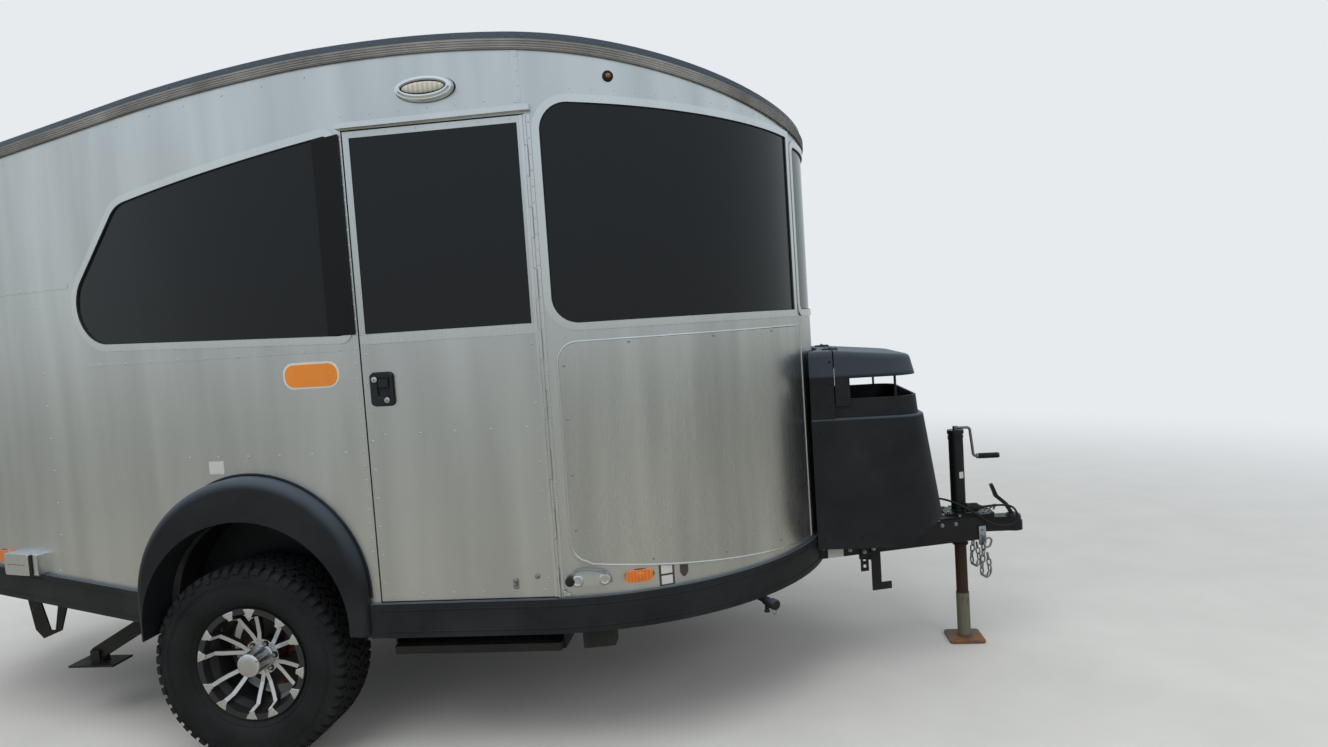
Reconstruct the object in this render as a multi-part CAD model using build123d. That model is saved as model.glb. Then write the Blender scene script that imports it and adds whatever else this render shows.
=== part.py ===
from build123d import *

import os
from math import acos, cos, degrees, radians, sin

# A teardrop travel caravan with one axle, as separate pieces in millimetres.
# X runs forward from the axle to the coupler, Y to the left and Z up from the ground.
# The pieces are moved at the end, so that the origin is under the middle of the length.

# Gaps and fits
SEAT = 0.3                  # gap between pieces that rest on each other
SHUT_GAP = 5.0              # gap round a door or lid
PIN_CLEARANCE = 0.05        # radial gap of a pin in its hole
PIVOT_GAP = 0.5             # gap between the knuckles of a hinge

# Body seen from above
HALF_WIDTH = 1015.0         # outer skin to the centre line beside the door
NOSE_X = 1090.0             # centre of the half-round nose
TAPER_X = 450.0             # the sides draw in from here to the tail
TAPER_RADIUS = 3200.0
TAPER_ANGLE = 15.0
TAIL_X = -1935.0            # outer skin of the tail on the centre line
TAIL_BOW_RADIUS = 1400.0
TAIL_CORNER_RADIUS = 200.0
WALL = 38.0                 # thickness of the whole wall
NOSE_JOINT_X = 1163.0       # joint between side walls and nose
TAIL_JOINT_X = -1560.0      # joint between side walls and tail

# Body seen from the side
KEEL_Z = 450.0              # lower edge of the walls
SWEEP_X = -150.0            # the lower edge rises from here to the tail
SWEEP_SLOPE = 0.078
ROOF_TOP_Z = 2486.0
ROOF_PEAK_X = 720.0
ROOF_FRONT_RADIUS = 4058.0
ROOF_BACK_RADIUS = 5058.0
ROOF_BACK_ANGLE = 4.8
ROOF_ROLL_RADIUS = 520.0    # the roof rolls over into the tail
ROOF_EDGE = 58.0            # depth of the roof shell

# Rail and trim round the body
RAIL_HEIGHT = 120.0
RAIL_DEPTH = 16.0
TRIM_HEIGHT = 34.0
TRIM_DEPTH = 9.0

# Floor and chassis, heights above the lower edge of the walls
FRAME_RISE = 10.0
TUBE_HEIGHT = 100.0
TUBE_WIDTH = 50.0
TUBE_WALL = 4.0
RAIL_Y = 520.0
FRAME_FRONT_X = 1250.0
FRAME_BACK_X = -1550.0
CROSS_MEMBERS_X = (-1525.0, -900.0, 400.0, 1225.0)
FLOOR_THICKNESS = 30.0
TONGUE_END_X = 2790.0
TONGUE_END_Y = 45.0

# Wheels and axle
WHEEL_Y = 918.0             # middle of the tyre
TYRE_RADIUS = 360.0
TYRE_WIDTH = 235.0
WHEEL_Z = TYRE_RADIUS
BEAD_RADIUS = 191.0
RIM_WIDTH = 190.0
FLANGE_RADIUS = 205.0
FLANGE_WIDTH = 10.0
BULGE_RADIUS = 261.0         # where the tyre is widest
SPOKE_PAIRS = 6
SPOKE_PHASE = 98.0           # angle of the first pair at rest
SPOKE_LINE = ((52.0, 3.0), (92.0, 16.0), (135.0, 28.5), (163.0, 35.0))    # outwards, and to one side
SPOKE_WIDTH = 15.0
TIP_WIDTH = 42.0             # each spoke flares where it meets the lip
TIP_INNER_RADIUS = 172.0
TIP_OUTER_RADIUS = 199.0
HUB_RADIUS = 66.0
HUB_FACE = 25.0              # outward from the middle of the tyre
HUB_THICKNESS = 22.0
CAP_RADIUS = 42.0
CAP_FACE = 112.0
LUG_CIRCLE = 52.0
LUG_RADIUS = 8.0
AXLE_TUBE = 70.0
AXLE_AHEAD = 160.0          # the axle tube lies ahead of the wheel centre
AXLE_END_Y = 735.0
ARM_THICKNESS = 24.0
DRUM_RADIUS = 140.0
DRUM_WIDTH = 64.0
DRUM_BACK_GAP = 6.0

# Wheel arches
ARCH_X = 25.0
ARCH_Z = 500.0
ARCH_RADIUS = 388.0
FLARE_X = 45.0
FLARE_Z = 607.0
FLARE_RADIUS = 430.0
FLARE_BOTTOM_Z = 470.0
FLARE_Y = 1065.0
FLARE_INNER_Y = 800.0        # well inside the skin, which then trims the arch
HOUSING_Y = 740.0
HOUSING_WALL = 5.0

# Entry door
DOOR_BACK_X = 517.0
DOOR_FRONT_X = 1145.0
DOOR_BOTTOM_Z = 576.0
DOOR_TOP_Z = 2194.0
DOOR_GLASS_Z = 1509.0
DOOR_FRAME = 22.0
DRIP_CAP_RISE = 8.0
DRIP_CAP_HEIGHT = 18.0
HANDLE_X = 585.0
HANDLE_Z = 1318.0
HANDLE_WIDTH = 80.0
HANDLE_HEIGHT = 112.0
HANDLE_DEPTH = 12.0
HANDLE_RECESS = 8.0
HANDLE_LOCK_RADIUS = 10.0
HINGE_SETBACK = 6.0          # hinge axis ahead of the door's front edge
HINGE_PROUD = 6.0            # and outside the skin
HINGE_RADIUS = 5.0
HINGE_LEAF = 17.0            # width of each leaf
HINGE_LEAF_THICKNESS = 3.0
HINGE_KNUCKLES = 8           # on each leaf
KNUCKLE_GAP = 2.0

# Windows
FRAME_WIDTH = 26.0
FRAME_PROUD = 5.0
FRAME_DEPTH = 30.0
GLASS_INSET = 3.0
GLASS_THICKNESS = 6.0
REAR_WINDOW = ((468.0, 2188.0), (-440.0, 2043.0), (-856.0, 1547.0), (468.0, 1508.0))
REAR_WINDOW_RADII = (18.0, 120.0, 150.0, 18.0)
NOSE_WINDOW_BOTTOM_Z = 1500.0
NOSE_WINDOW_TOP_Z = 2228.0   # at NOSE_WINDOW_TOP_X, sloping down forwards
NOSE_WINDOW_TOP_X = 1280.0
NOSE_WINDOW_SLOPE = -0.075
NOSE_CENTRE_TOP_Z = 2146.0
NOSE_WINDOW_BACK = 84.0      # degrees from straight ahead
NOSE_WINDOW_SPLIT = 21.8
NOSE_MULLION = 1.8
NOSE_WINDOW_ROUND = 90.0

# Stone guards
GUARD_BACK = 84.0
GUARD_FRONT = 20.6
GUARD_TOP_Z = 1442.0
GUARD_BOTTOM_Z = 674.0       # at GUARD_BOTTOM_X, sloping down forwards
GUARD_BOTTOM_X = 1285.0
GUARD_SLOPE = -0.125
GUARD_ROUND = 70.0
GUARD_THICKNESS = 4.0

# Rear hatch
HATCH_HALF_WIDTH = 340.0
HATCH_BOTTOM_Z = 800.0
HATCH_TOP_Z = 1640.0
HATCH_ROUND = 70.0
HATCH_GLASS_BOTTOM_Z = 1180.0
HATCH_MARGIN = 70.0
HATCH_HINGE_Y = 200.0
HATCH_HINGE_RADIUS = 6.0
HATCH_CENTRE_KNUCKLE = 28.0  # length of the fixed knuckle
HATCH_SIDE_KNUCKLE = 16.0    # and of the moving one at each end of it
HATCH_HINGE_SETBACK = 8.0    # hinge axis above the opening and outside the skin

# Gas bottle cover on the tongue
COVER_NOSE_GAP = 22.0        # between the nose and the back of the cover
COVER_HALF_WIDTH = 345.0
COVER_WALL = 8.0
COVER_ROUND = 110.0
COVER_BOTTOM_Z = 515.0
COVER_CHIN_X = 2420.0        # the lower edge rises from here to the front
COVER_CHIN_Z = 630.0
COVER_FRONT_X = 2585.0
SHOULDER_FRONT_X = 2528.0    # the front leans back to here
SHOULDER_Z = 1050.0
SILL_INSET = 18.0            # the band between the shoulder and the lid stands back by this
SILL_Z = 1126.0
HOOD_FRONT_X = 2165.0
HOOD_TOP_Z = 1325.0
LID_INSET = 4.0              # lid and hood stand back from the lower body by this
LID_DROP_FRONT_X = 2229.0    # the back of the lid hangs lower than its sides
LID_DROP_Z = 1100.0
LID_SIDE_Z = 1210.0
LID_FRONT_X = 2502.0
LID_TOP_FRONT_X = 2482.0
LID_TOP_FRONT_Z = 1292.0
LID_HINGE_RISE = 6.0         # hinge axis above the hood
LID_HINGE_RADIUS = 5.0
LID_HINGE_Y = 200.0
LID_KNUCKLE = 40.0
POST_X = 2410.0
POST_RADIUS = 5.0
BOTTLE_RADIUS = 152.0
BOTTLE_HEIGHT = 380.0
COLLAR_INSET = 52.0          # the collar stands in from the bottle's side
COLLAR_WALL = 4.0
COLLAR_RISE = 60.0
BOTTLE_X = 2325.0
BOTTLE_Y = 168.0
TRAY_THICKNESS = 5.0
TRAY_FRONT_X = 2470.0

# Tongue jack and coupler
JACK_SETBACK = 266.0         # from the tip of the coupler
JACK_RADIUS = 31.0
JACK_BOTTOM_Z = 427.0
JACK_TOP_Z = 915.0
JACK_LEG_RADIUS = 25.0
JACK_SLEEVE_RADIUS = 28.0    # the lower part of the leg is thicker
JACK_SLEEVE_TOP_Z = 208.0
JACK_PLATE = 140.0
FOOT_SIZE = 150.0
FOOT_THICKNESS = 10.0
CRANK_ROD_RADIUS = 6.0
CRANK_REACH = 42.0
CRANK_DROP = 128.0
GRIP_LENGTH = 96.0
GRIP_RADIUS = 11.0
COUPLER_TIP_X = 2974.0
JACK_X = COUPLER_TIP_X - JACK_SETBACK
COUPLER_Z = 514.0
COUPLER_BACK_X = JACK_X - 102.0
COUPLER_PLATE = 6.0
WING_BACK_HALF_WIDTH = 118.0     # plate on the tongue, behind the neck
WING_FRONT_HALF_WIDTH = 50.0
BALL_RADIUS = 25.4
SOCKET_WALL = 14.0
NECK_HALF_WIDTH = 34.0
NECK_HALF_HEIGHT = 31.0
LEVER_WIDTH = 22.0

# Cable on the tongue, which leaves the cover and ends in a plug on the jack's plate
CABLE_RADIUS = 4.5
CABLE_BEND = 36.0
CABLE_POINTS = (
    (2562.0, -60.0, 648.0), (2622.0, -60.0, 648.0), (2730.0, -86.0, 600.0), (2840.0, -84.0, 512.0),
    (2938.0, -82.0, 528.0), (2926.0, -74.0, 602.0), (2850.0, -60.0, 606.0), (2788.0, -52.0, 596.0),
)

# Small steel parts under the body
HOOK_X = 2302.0              # hooked arm on each tube of the tongue
HOOK_BOTTOM_Z = 302.0
STRAP_X = 2254.0             # strap with three holes beside it
STRAP_BOTTOM_Z = 388.0
STRAP_SLOT = 14.0            # side of the square slots and of the steps between them
LOOP_THICKNESS = 8.0         # loops of flat bar on the frame behind the wheels
LOOP_OUTLINE = (
    (-1330.0, 620.0), (-1285.0, 345.0), (-1250.0, 305.0), (-1165.0, 337.0), (-1065.0, 620.0),
)
LOOP_HOLE = ((-1288.0, 620.0), (-1216.0, 340.0), (-1192.0, 340.0), (-1130.0, 620.0))
DRAIN_BOX_X = (1218.0, 1325.0)
DRAIN_BOX_DEPTH = 60.0
DRAIN_BOX_BOTTOM_Z = 389.0

# Safety chains, one hanging from a plate on each tube of the tongue
CHAIN_PLATE_X = 2776.0
CHAIN_PLATE_BOTTOM_Z = 436.0
CHAIN_HOLE_Z = 450.0
CHAIN_HOLE_RADIUS = 9.0
LINK_LENGTH = 38.0
LINK_WIDTH = 25.0
LINK_WIRE = 6.5
LINK_COUNT = 4
LINK_BITE = 1.0              # overlap where one link bears on the next
HOOK_LENGTH = 50.0
HOOK_WIDTH = 32.0
HOOK_WIRE = 8.0

# Step under the door
STEP_DEPTH = 420.0
STEP_BACK_X = 540.0
STEP_FRONT_X = 1140.0
STEP_SLIDE_GAP = 1.0
SLIDE_FRONT_Y = 970.0
STEP_THICKNESS = 28.0
STEP_Z = 396.0
STEP_EDGE_Y = 1005.0

# Rear stabiliser legs
LEG_PIVOT_X = -640.0
LEG_PIVOT_Y = 640.0
LEG_PIVOT_Z = 425.0
LEG_LENGTH = 315.0
LEG_REST_ANGLE = 28.5        # below level
LEG_PIN_RADIUS = 8.0
PAD_LENGTH = 200.0
PAD_WIDTH = 110.0
PAD_THICKNESS = 8.0
LEG_WIDTH = 34.0
LEG_DEPTH = 56.0
EAR_THICKNESS = 6.0

# Lamps
MARKERS = (                  # x, z, width and height of the side lamps
    (1421.0, 624.0, 94.0, 40.0),
    (-1275.0, 705.0, 110.0, 46.0),
)
MARKER_PROUD = 14.0
PORCH_LAMP_X = 822.0
PORCH_LAMP_Z = 2308.0
PORCH_LAMP_LENGTH = 196.0
PORCH_LAMP_HEIGHT = 76.0
PORCH_LAMP_PROUD = 24.0
TAIL_LAMP_X = -1660.0
TAIL_LAMP_Z = 1010.0
TAIL_LAMP_HEIGHT = 320.0
TAIL_LAMP_WIDTH = 90.0
TAIL_LAMP_PROUD = 16.0

# Roof gear
AIR_UNIT_X = 60.0
AIR_UNIT_TOP_Z = 2650.0
AIR_UNIT_HALF_LENGTH = 430.0
AIR_UNIT_HALF_WIDTH = 320.0
AIR_UNIT_CORNER = 90.0       # seen from above
AIR_UNIT_SHOULDER = 55.0     # sloped edge round its top
AIR_UNIT_DEPTH = 350.0       # deep enough to reach the roof, which then trims it
VENT_X = -760.0
VENT_RISE = 60.47752187178821    # top of the base above the roof line at its middle
VENT_HALF = 210.0
VENT_WALL = 30.0
VENT_DEPTH = 140.0           # deep enough to reach the roof on its high side
VENT_LID_TOP = 42.0          # top of the lid above the base
VENT_OVERHANG = 15.0
VENT_HINGE_SETBACK = 8.0     # hinge axis ahead of the base
VENT_HINGE_DROP = 6.0        # and below its top edge
VENT_HINGE_RADIUS = 4.5
VENT_HINGE_Y = 120.0

REACH = 3400.0               # larger than the body, for cutting blocks

pieces = {}


def save(name, *shapes):
    """Keep one named piece, made of one or more solids."""
    solids = [solid for shape in shapes for solid in shape.solids()]
    pieces[name] = solids[0] if len(solids) == 1 else Compound(solids)


def sum_shapes(shapes):
    """Fuse a list of shapes."""
    whole = shapes[0]
    for shape in shapes[1:]:
        whole += shape
    return whole


def both_sides(solid):
    """A solid and its mirror image across the centre line."""
    return [solid, mirror(solid, Plane.XZ)]


# Frames of reference and cutting blocks

def cross_pin(x, y, z, radius, length):
    """Cylinder across the caravan."""
    return Pos(x, y, z) * Rot(90, 0, 0) * Cylinder(radius, length)


def polar(centre, radius, angle):
    """Point on a circle, with the angle in degrees."""
    return (centre[0] + radius * cos(radians(angle)), centre[1] + radius * sin(radians(angle)))


def arc_on(centre, radius, start, end):
    """Arc round a centre from one angle to another, in degrees."""
    middle = (start + end) / 2
    return ThreePointArc(
        polar(centre, radius, start), polar(centre, radius, middle), polar(centre, radius, end)
    )


def plan_face(inset):
    """Outline of the body seen from above, moved in by inset."""
    nose = (NOSE_X, 0.0)
    taper = (TAPER_X, HALF_WIDTH - TAPER_RADIUS)
    bow = (TAIL_X + TAIL_BOW_RADIUS, 0.0)
    normal = 90.0 + TAPER_ANGLE
    normal_x, normal_y = cos(radians(normal)), sin(radians(normal))
    side_offset = normal_x * taper[0] + normal_y * taper[1] + TAPER_RADIUS
    reach = TAIL_BOW_RADIUS - TAIL_CORNER_RADIUS
    turn = acos((side_offset - TAIL_CORNER_RADIUS - normal_x * bow[0]) / reach)
    bow_end = 180.0 - (180.0 - normal - degrees(turn))
    corner = polar(bow, reach, bow_end)
    corner_radius = TAIL_CORNER_RADIUS - inset
    half_width = HALF_WIDTH - inset
    left = [
        Line(polar(nose, half_width, 90.0), polar(taper, TAPER_RADIUS - inset, 90.0)),
        arc_on(taper, TAPER_RADIUS - inset, 90.0, normal),
        Line(polar(taper, TAPER_RADIUS - inset, normal), polar(corner, corner_radius, normal)),
        arc_on(corner, corner_radius, normal, bow_end),
    ]
    ends = [
        arc_on(nose, half_width, -90.0, 90.0),
        arc_on(bow, TAIL_BOW_RADIUS - inset, bow_end, 360.0 - bow_end),
    ]
    right = [mirror(edge, Plane.XZ) for edge in left]
    return make_face(Curve() + left + ends + right)


def plan_block(inset):
    """Upright block with the outline of the body, moved in by inset."""
    return extrude(plan_face(inset), REACH)


def skin(outer, inner):
    """Upright ring that follows the body between two insets."""
    return plan_block(outer) - plan_block(inner)


def side_block(face):
    """Block right across the body from an outline drawn in X and Z."""
    return extrude(Plane.XZ * face, REACH, both=True)


def square_block(x, half_length, half_width, low, high):
    """Upright block centred on the middle plane at x."""
    return box((x - half_length, x + half_length), (-half_width, half_width), (low, high))


def back_roof_z(x, inset=0.0):
    """Height at x of the straight slope behind the roof's back arc, or of a line inset below it."""
    normal = radians(90.0 + ROOF_BACK_ANGLE)
    offset = cos(normal) * ROOF_PEAK_X + sin(normal) * (ROOF_TOP_Z - ROOF_BACK_RADIUS) + ROOF_BACK_RADIUS
    return (offset - inset - cos(normal) * x) / sin(normal)


def roof_face(depth):
    """Everything under the roof line, lowered by depth, seen from the side."""
    front = (ROOF_PEAK_X, ROOF_TOP_Z - ROOF_FRONT_RADIUS)
    back = (ROOF_PEAK_X, ROOF_TOP_Z - ROOF_BACK_RADIUS)
    normal = 90.0 + ROOF_BACK_ANGLE
    roll_x = TAIL_X + ROOF_ROLL_RADIUS
    roll = (roll_x, back_roof_z(roll_x, ROOF_ROLL_RADIUS))
    front_angle = 65.0
    start = polar(front, ROOF_FRONT_RADIUS - depth, front_angle)
    edges = [
        arc_on(front, ROOF_FRONT_RADIUS - depth, front_angle, 90.0),
        arc_on(back, ROOF_BACK_RADIUS - depth, 90.0, normal),
        Line(
            polar(back, ROOF_BACK_RADIUS - depth, normal),
            polar(roll, ROOF_ROLL_RADIUS - depth, normal),
        ),
        arc_on(roll, ROOF_ROLL_RADIUS - depth, normal, 180.0),
        Polyline(
            (TAIL_X + depth, roll[1]), (-REACH, roll[1]), (-REACH, 0.0), (start[0], 0.0), start
        ),
    ]
    return make_face(Curve() + edges)


def keel_z(x, rise=0.0):
    """Height of the lower edge of the body at x, plus rise."""
    return KEEL_Z + rise + max(0.0, SWEEP_X - x) * SWEEP_SLOPE


def above_keel(rise):
    """Everything above the lower edge of the body, raised by rise."""
    corners = [(x, keel_z(x, rise)) for x in (-REACH, SWEEP_X, REACH)]
    return side_block(make_face(Polyline(*corners, (REACH, REACH), (-REACH, REACH), close=True)))


def keel_band(low, high):
    """Layer that follows the lower edge of the body."""
    return above_keel(low) - above_keel(high)


def box(x_range, y_range, z_range):
    """Block between two corners."""
    size = [high - low for low, high in (x_range, y_range, z_range)]
    middle = [(high + low) / 2 for low, high in (x_range, y_range, z_range)]
    return Pos(*middle) * Box(*size)


def rounded_side(points, radii, grow=0.0):
    """Block on the right of the body with a rounded outline drawn in X and Z."""
    outline = make_face(FilletPolyline(*points, radius=list(radii), close=True))
    if grow:
        outline = offset(outline, grow)
    return extrude(Plane.XZ * outline, REACH)


def tail_block(half_width, bottom, top, rounding, grow=0.0):
    """Block through the tail with a rounded outline drawn in Y and Z."""
    outline = RectangleRounded(2 * (half_width + grow), top - bottom + 2 * grow, rounding + grow)
    place = Plane(origin=(0, 0, (bottom + top) / 2), x_dir=(0, 1, 0), z_dir=(-1, 0, 0))
    return extrude(place * outline, REACH)


def nose_block(front, back, bottom, top, rounding, grow=0.0):
    """Block through the nose between two angles, with sloping planes for its bottom and top.

    bottom and top are (height, x of that height, slope), and rounding is for the two back
    corners, or for all four where front and back are alike.
    """
    spread = degrees(grow / HALF_WIDTH)
    low_angle, high_angle = front - spread, back + spread
    middle = (low_angle + high_angle) / 2
    centre = (NOSE_X, 0.0)
    near = HALF_WIDTH / 2
    wedge = make_face(
        Polyline(
            polar(centre, near, -low_angle), polar(centre, REACH, -low_angle),
            polar(centre, REACH * 1.5, -middle), polar(centre, REACH, -high_angle),
            polar(centre, near, -high_angle), close=True,
        )
    )
    ends = (NOSE_X, NOSE_X + 2 * REACH)
    low = [(x, bottom[0] - grow + bottom[2] * (x - bottom[1])) for x in ends]
    high = [(x, top[0] + grow + top[2] * (x - top[1])) for x in reversed(ends)]
    block = extrude(wedge, REACH) & side_block(make_face(Polyline(*low, *high, close=True)))
    rounded = (high_angle,) if front > 0 else (low_angle, high_angle)
    for angle in rounded:
        across = Vector(sin(radians(angle)), cos(radians(angle)), 0)
        edges = [
            edge for edge in block.edges()
            if abs((edge.center() - Vector(NOSE_X, 0, edge.center().Z)).dot(across)) < 0.01
            and abs(edge.tangent_at(0.5).Z) < 0.9
            and abs((edge.position_at(0) - Vector(NOSE_X, 0, edge.position_at(0).Z)).dot(across)) < 0.01
        ]
        block = fillet(edges, rounding + grow)
    return block


def arch_face(x, z, radius, bottom):
    """Round-topped opening seen from the side."""
    return make_face(
        Curve() + [
            ThreePointArc((x - radius, z), (x, z + radius), (x + radius, z)),
            Polyline((x + radius, z), (x + radius, bottom), (x - radius, bottom), (x - radius, z)),
        ]
    )


# Body shell

def nose_window_block(side_window, grow):
    bottom = (NOSE_WINDOW_BOTTOM_Z, NOSE_X, 0.0)
    top = (NOSE_WINDOW_TOP_Z, NOSE_WINDOW_TOP_X, NOSE_WINDOW_SLOPE)
    if side_window:
        return nose_block(
            NOSE_WINDOW_SPLIT + NOSE_MULLION, NOSE_WINDOW_BACK, bottom, top, NOSE_WINDOW_ROUND, grow
        )
    half = NOSE_WINDOW_SPLIT - NOSE_MULLION
    top = (NOSE_CENTRE_TOP_Z, NOSE_X, 0.0)
    return nose_block(-half, half, bottom, top, FRAME_WIDTH, grow)


def rear_window_block(grow):
    return rounded_side(REAR_WINDOW, REAR_WINDOW_RADII, grow)


def hatch_block(grow):
    return tail_block(HATCH_HALF_WIDTH, HATCH_BOTTOM_Z, HATCH_TOP_Z, HATCH_ROUND, grow)


def hatch_glass_block(grow):
    return tail_block(
        HATCH_HALF_WIDTH - HATCH_MARGIN, HATCH_GLASS_BOTTOM_Z, HATCH_TOP_Z - HATCH_MARGIN,
        HATCH_ROUND - HATCH_MARGIN / 2, grow,
    )


def arch_block(radius_growth):
    return side_block(arch_face(ARCH_X, ARCH_Z, ARCH_RADIUS + radius_growth, 0.0))


def tongue_tubes(grow=0.0):
    """The two slanting tubes of the A-frame, from the cross member to the coupler."""
    low, high = KEEL_Z + FRAME_RISE, KEEL_Z + FRAME_RISE + TUBE_HEIGHT
    start = Vector(FRAME_FRONT_X, -RAIL_Y, (low + high) / 2)
    end = Vector(TONGUE_END_X, -TONGUE_END_Y, (low + high) / 2)
    run = (end - start).normalized()
    place = Plane(origin=start, x_dir=(run.Y, -run.X, 0), z_dir=run)
    outer = Rectangle(TUBE_WIDTH + 2 * grow, TUBE_HEIGHT + 2 * grow)
    if not grow:
        outer = outer - Rectangle(TUBE_WIDTH - 2 * TUBE_WALL, TUBE_HEIGHT - 2 * TUBE_WALL)
    return both_sides(extrude(place * outer, (end - start).length))


def make_body():
    """Walls, roof, floor and wheel housings."""
    walls = skin(0, WALL) & side_block(roof_face(ROOF_EDGE)) & above_keel(0)
    for cutter in both_sides(rear_window_block(FRAME_WIDTH)):
        walls -= cutter
    for cutter in both_sides(nose_window_block(True, FRAME_WIDTH)):
        walls -= cutter
    walls -= nose_window_block(False, FRAME_WIDTH)
    walls -= hatch_block(0)
    walls -= arch_block(0)
    for tube in tongue_tubes(4.0):
        walls -= tube
    walls -= box(
        (DOOR_BACK_X - SHUT_GAP, DOOR_FRONT_X + SHUT_GAP), (-REACH, 0),
        (DOOR_BOTTOM_Z - SHUT_GAP, DOOR_TOP_Z + SHUT_GAP),
    )
    middle = (TAIL_JOINT_X, NOSE_JOINT_X)
    save("wall_right", walls & box(middle, (-REACH, 0), (0, REACH)))
    save("wall_left", walls & box(middle, (0, REACH), (0, REACH)))
    save("wall_nose", walls & box((NOSE_JOINT_X, REACH), (-REACH, REACH), (0, REACH)))
    save("wall_tail", walls & box((-REACH, TAIL_JOINT_X), (-REACH, REACH), (0, REACH)))
    roof = plan_block(0) & (side_block(roof_face(0)) - side_block(roof_face(ROOF_EDGE)))
    save("roof_shell", roof)
    housing_hole = arch_block(HOUSING_WALL + SEAT)
    inside = box((-REACH, REACH), (SEAT - HOUSING_Y, HOUSING_Y - SEAT), (0, REACH))
    floor_rise = FRAME_RISE + TUBE_HEIGHT + SEAT
    floor = plan_block(WALL + SEAT) & keel_band(floor_rise, floor_rise + FLOOR_THICKNESS)
    save("floor_deck", floor - (housing_hole - inside))
    housing = arch_block(HOUSING_WALL) & above_keel(floor_rise) & plan_block(WALL + SEAT)
    housing &= box((-REACH, REACH), (-REACH, -HOUSING_Y), (0, REACH))
    hollow = arch_block(0) & box((-REACH, REACH), (-REACH, -HOUSING_Y - HOUSING_WALL), (0, REACH))
    save("wheel_housings", *both_sides(housing - hollow))


def make_trims():
    """Rub rail, roof trim, drip cap and stone guards."""
    flare_gap = side_block(arch_face(FLARE_X, FLARE_Z, FLARE_RADIUS + 1.0, 0.0))
    rail = skin(-RAIL_DEPTH, -SEAT) & keel_band(0, RAIL_HEIGHT)
    rail -= flare_gap
    for tube in tongue_tubes(4.0):
        rail -= tube
    save("rub_rails", *rail.solids())
    trim = skin(-TRIM_DEPTH, -SEAT)
    trim &= side_block(roof_face(ROOF_EDGE - TRIM_HEIGHT)) - side_block(roof_face(ROOF_EDGE))
    save("roof_trim", trim)
    bottom = (GUARD_BOTTOM_Z, GUARD_BOTTOM_X, GUARD_SLOPE)
    top = (GUARD_TOP_Z, NOSE_X, 0.0)
    guard = skin(-GUARD_THICKNESS, -SEAT) & nose_block(GUARD_FRONT, GUARD_BACK, bottom, top, GUARD_ROUND)
    save("stone_guards", *both_sides(guard))
    low, high = DOOR_TOP_Z + DRIP_CAP_RISE, DOOR_TOP_Z + DRIP_CAP_RISE + DRIP_CAP_HEIGHT
    start, end = DOOR_BACK_X - 17.0, DOOR_FRONT_X + 27.0
    cap_outline = [(start, low), (end, low + 4.0), (end, high + 4.0), (start, high)]
    cap = skin(-20.0, -SEAT) & extrude(Plane.XZ * make_face(Polyline(*cap_outline, close=True)), REACH)
    save("drip_cap", cap)


def window(block, name, both=True):
    """Frame and glass in an opening that a cutting block describes."""
    ring = skin(-FRAME_PROUD, FRAME_DEPTH) & (block(FRAME_WIDTH - SEAT) - block(0))
    pane = skin(GLASS_INSET, GLASS_INSET + GLASS_THICKNESS) & block(-SEAT)
    frames = both_sides(ring) if both else [ring]
    panes = both_sides(pane) if both else [pane]
    save(name + "_frame", *frames)
    save(name + "_glass", *panes)


def make_windows():
    window(rear_window_block, "rear_window")
    window(lambda grow: nose_window_block(True, grow), "nose_side_window")
    window(lambda grow: nose_window_block(False, grow), "nose_centre_window", both=False)


def make_flares():
    """Black arches over the wheels, from the skin out."""
    outer = extrude(Plane.XZ * arch_face(FLARE_X, FLARE_Z, FLARE_RADIUS, FLARE_BOTTOM_Z), FLARE_Y)
    outer -= box((-REACH, REACH), (-FLARE_INNER_Y, 0), (0, REACH))
    rim_edges = [
        edge for edge in outer.edges().filter_by(GeomType.CIRCLE)
        if edge.center().Y < -FLARE_Y + 1
    ]
    sides = [
        edge for edge in outer.edges().filter_by(Axis.Z)
        if edge.center().Y < -FLARE_Y + 1
    ]
    outer = fillet(rim_edges + sides, 34.0)
    flare = outer - arch_block(0) - plan_block(-SEAT)
    save("wheel_flares", *both_sides(flare))


# Chassis

def make_chassis():
    low, high = FRAME_RISE, FRAME_RISE + TUBE_HEIGHT
    rail = keel_band(low, high) & box(
        (FRAME_BACK_X, FRAME_FRONT_X), (-RAIL_Y - TUBE_WIDTH / 2, -RAIL_Y + TUBE_WIDTH / 2), (0, REACH)
    )
    frame = rail + mirror(rail, Plane.XZ)
    for x in CROSS_MEMBERS_X:
        member = keel_band(low, high) & box(
            (x - TUBE_WIDTH / 2, x + TUBE_WIDTH / 2), (-RAIL_Y, RAIL_Y), (0, REACH)
        )
        frame += member
    for tube in tongue_tubes():
        frame += tube
    save("chassis_frame", frame)


def bent_rod(points, radius, bend):
    """Round bar along straight runs with an arc at each bend."""
    line = FilletPolyline(*points, radius=bend)
    return sweep(Plane(origin=line @ 0, z_dir=line % 0) * Circle(radius), line)


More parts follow.
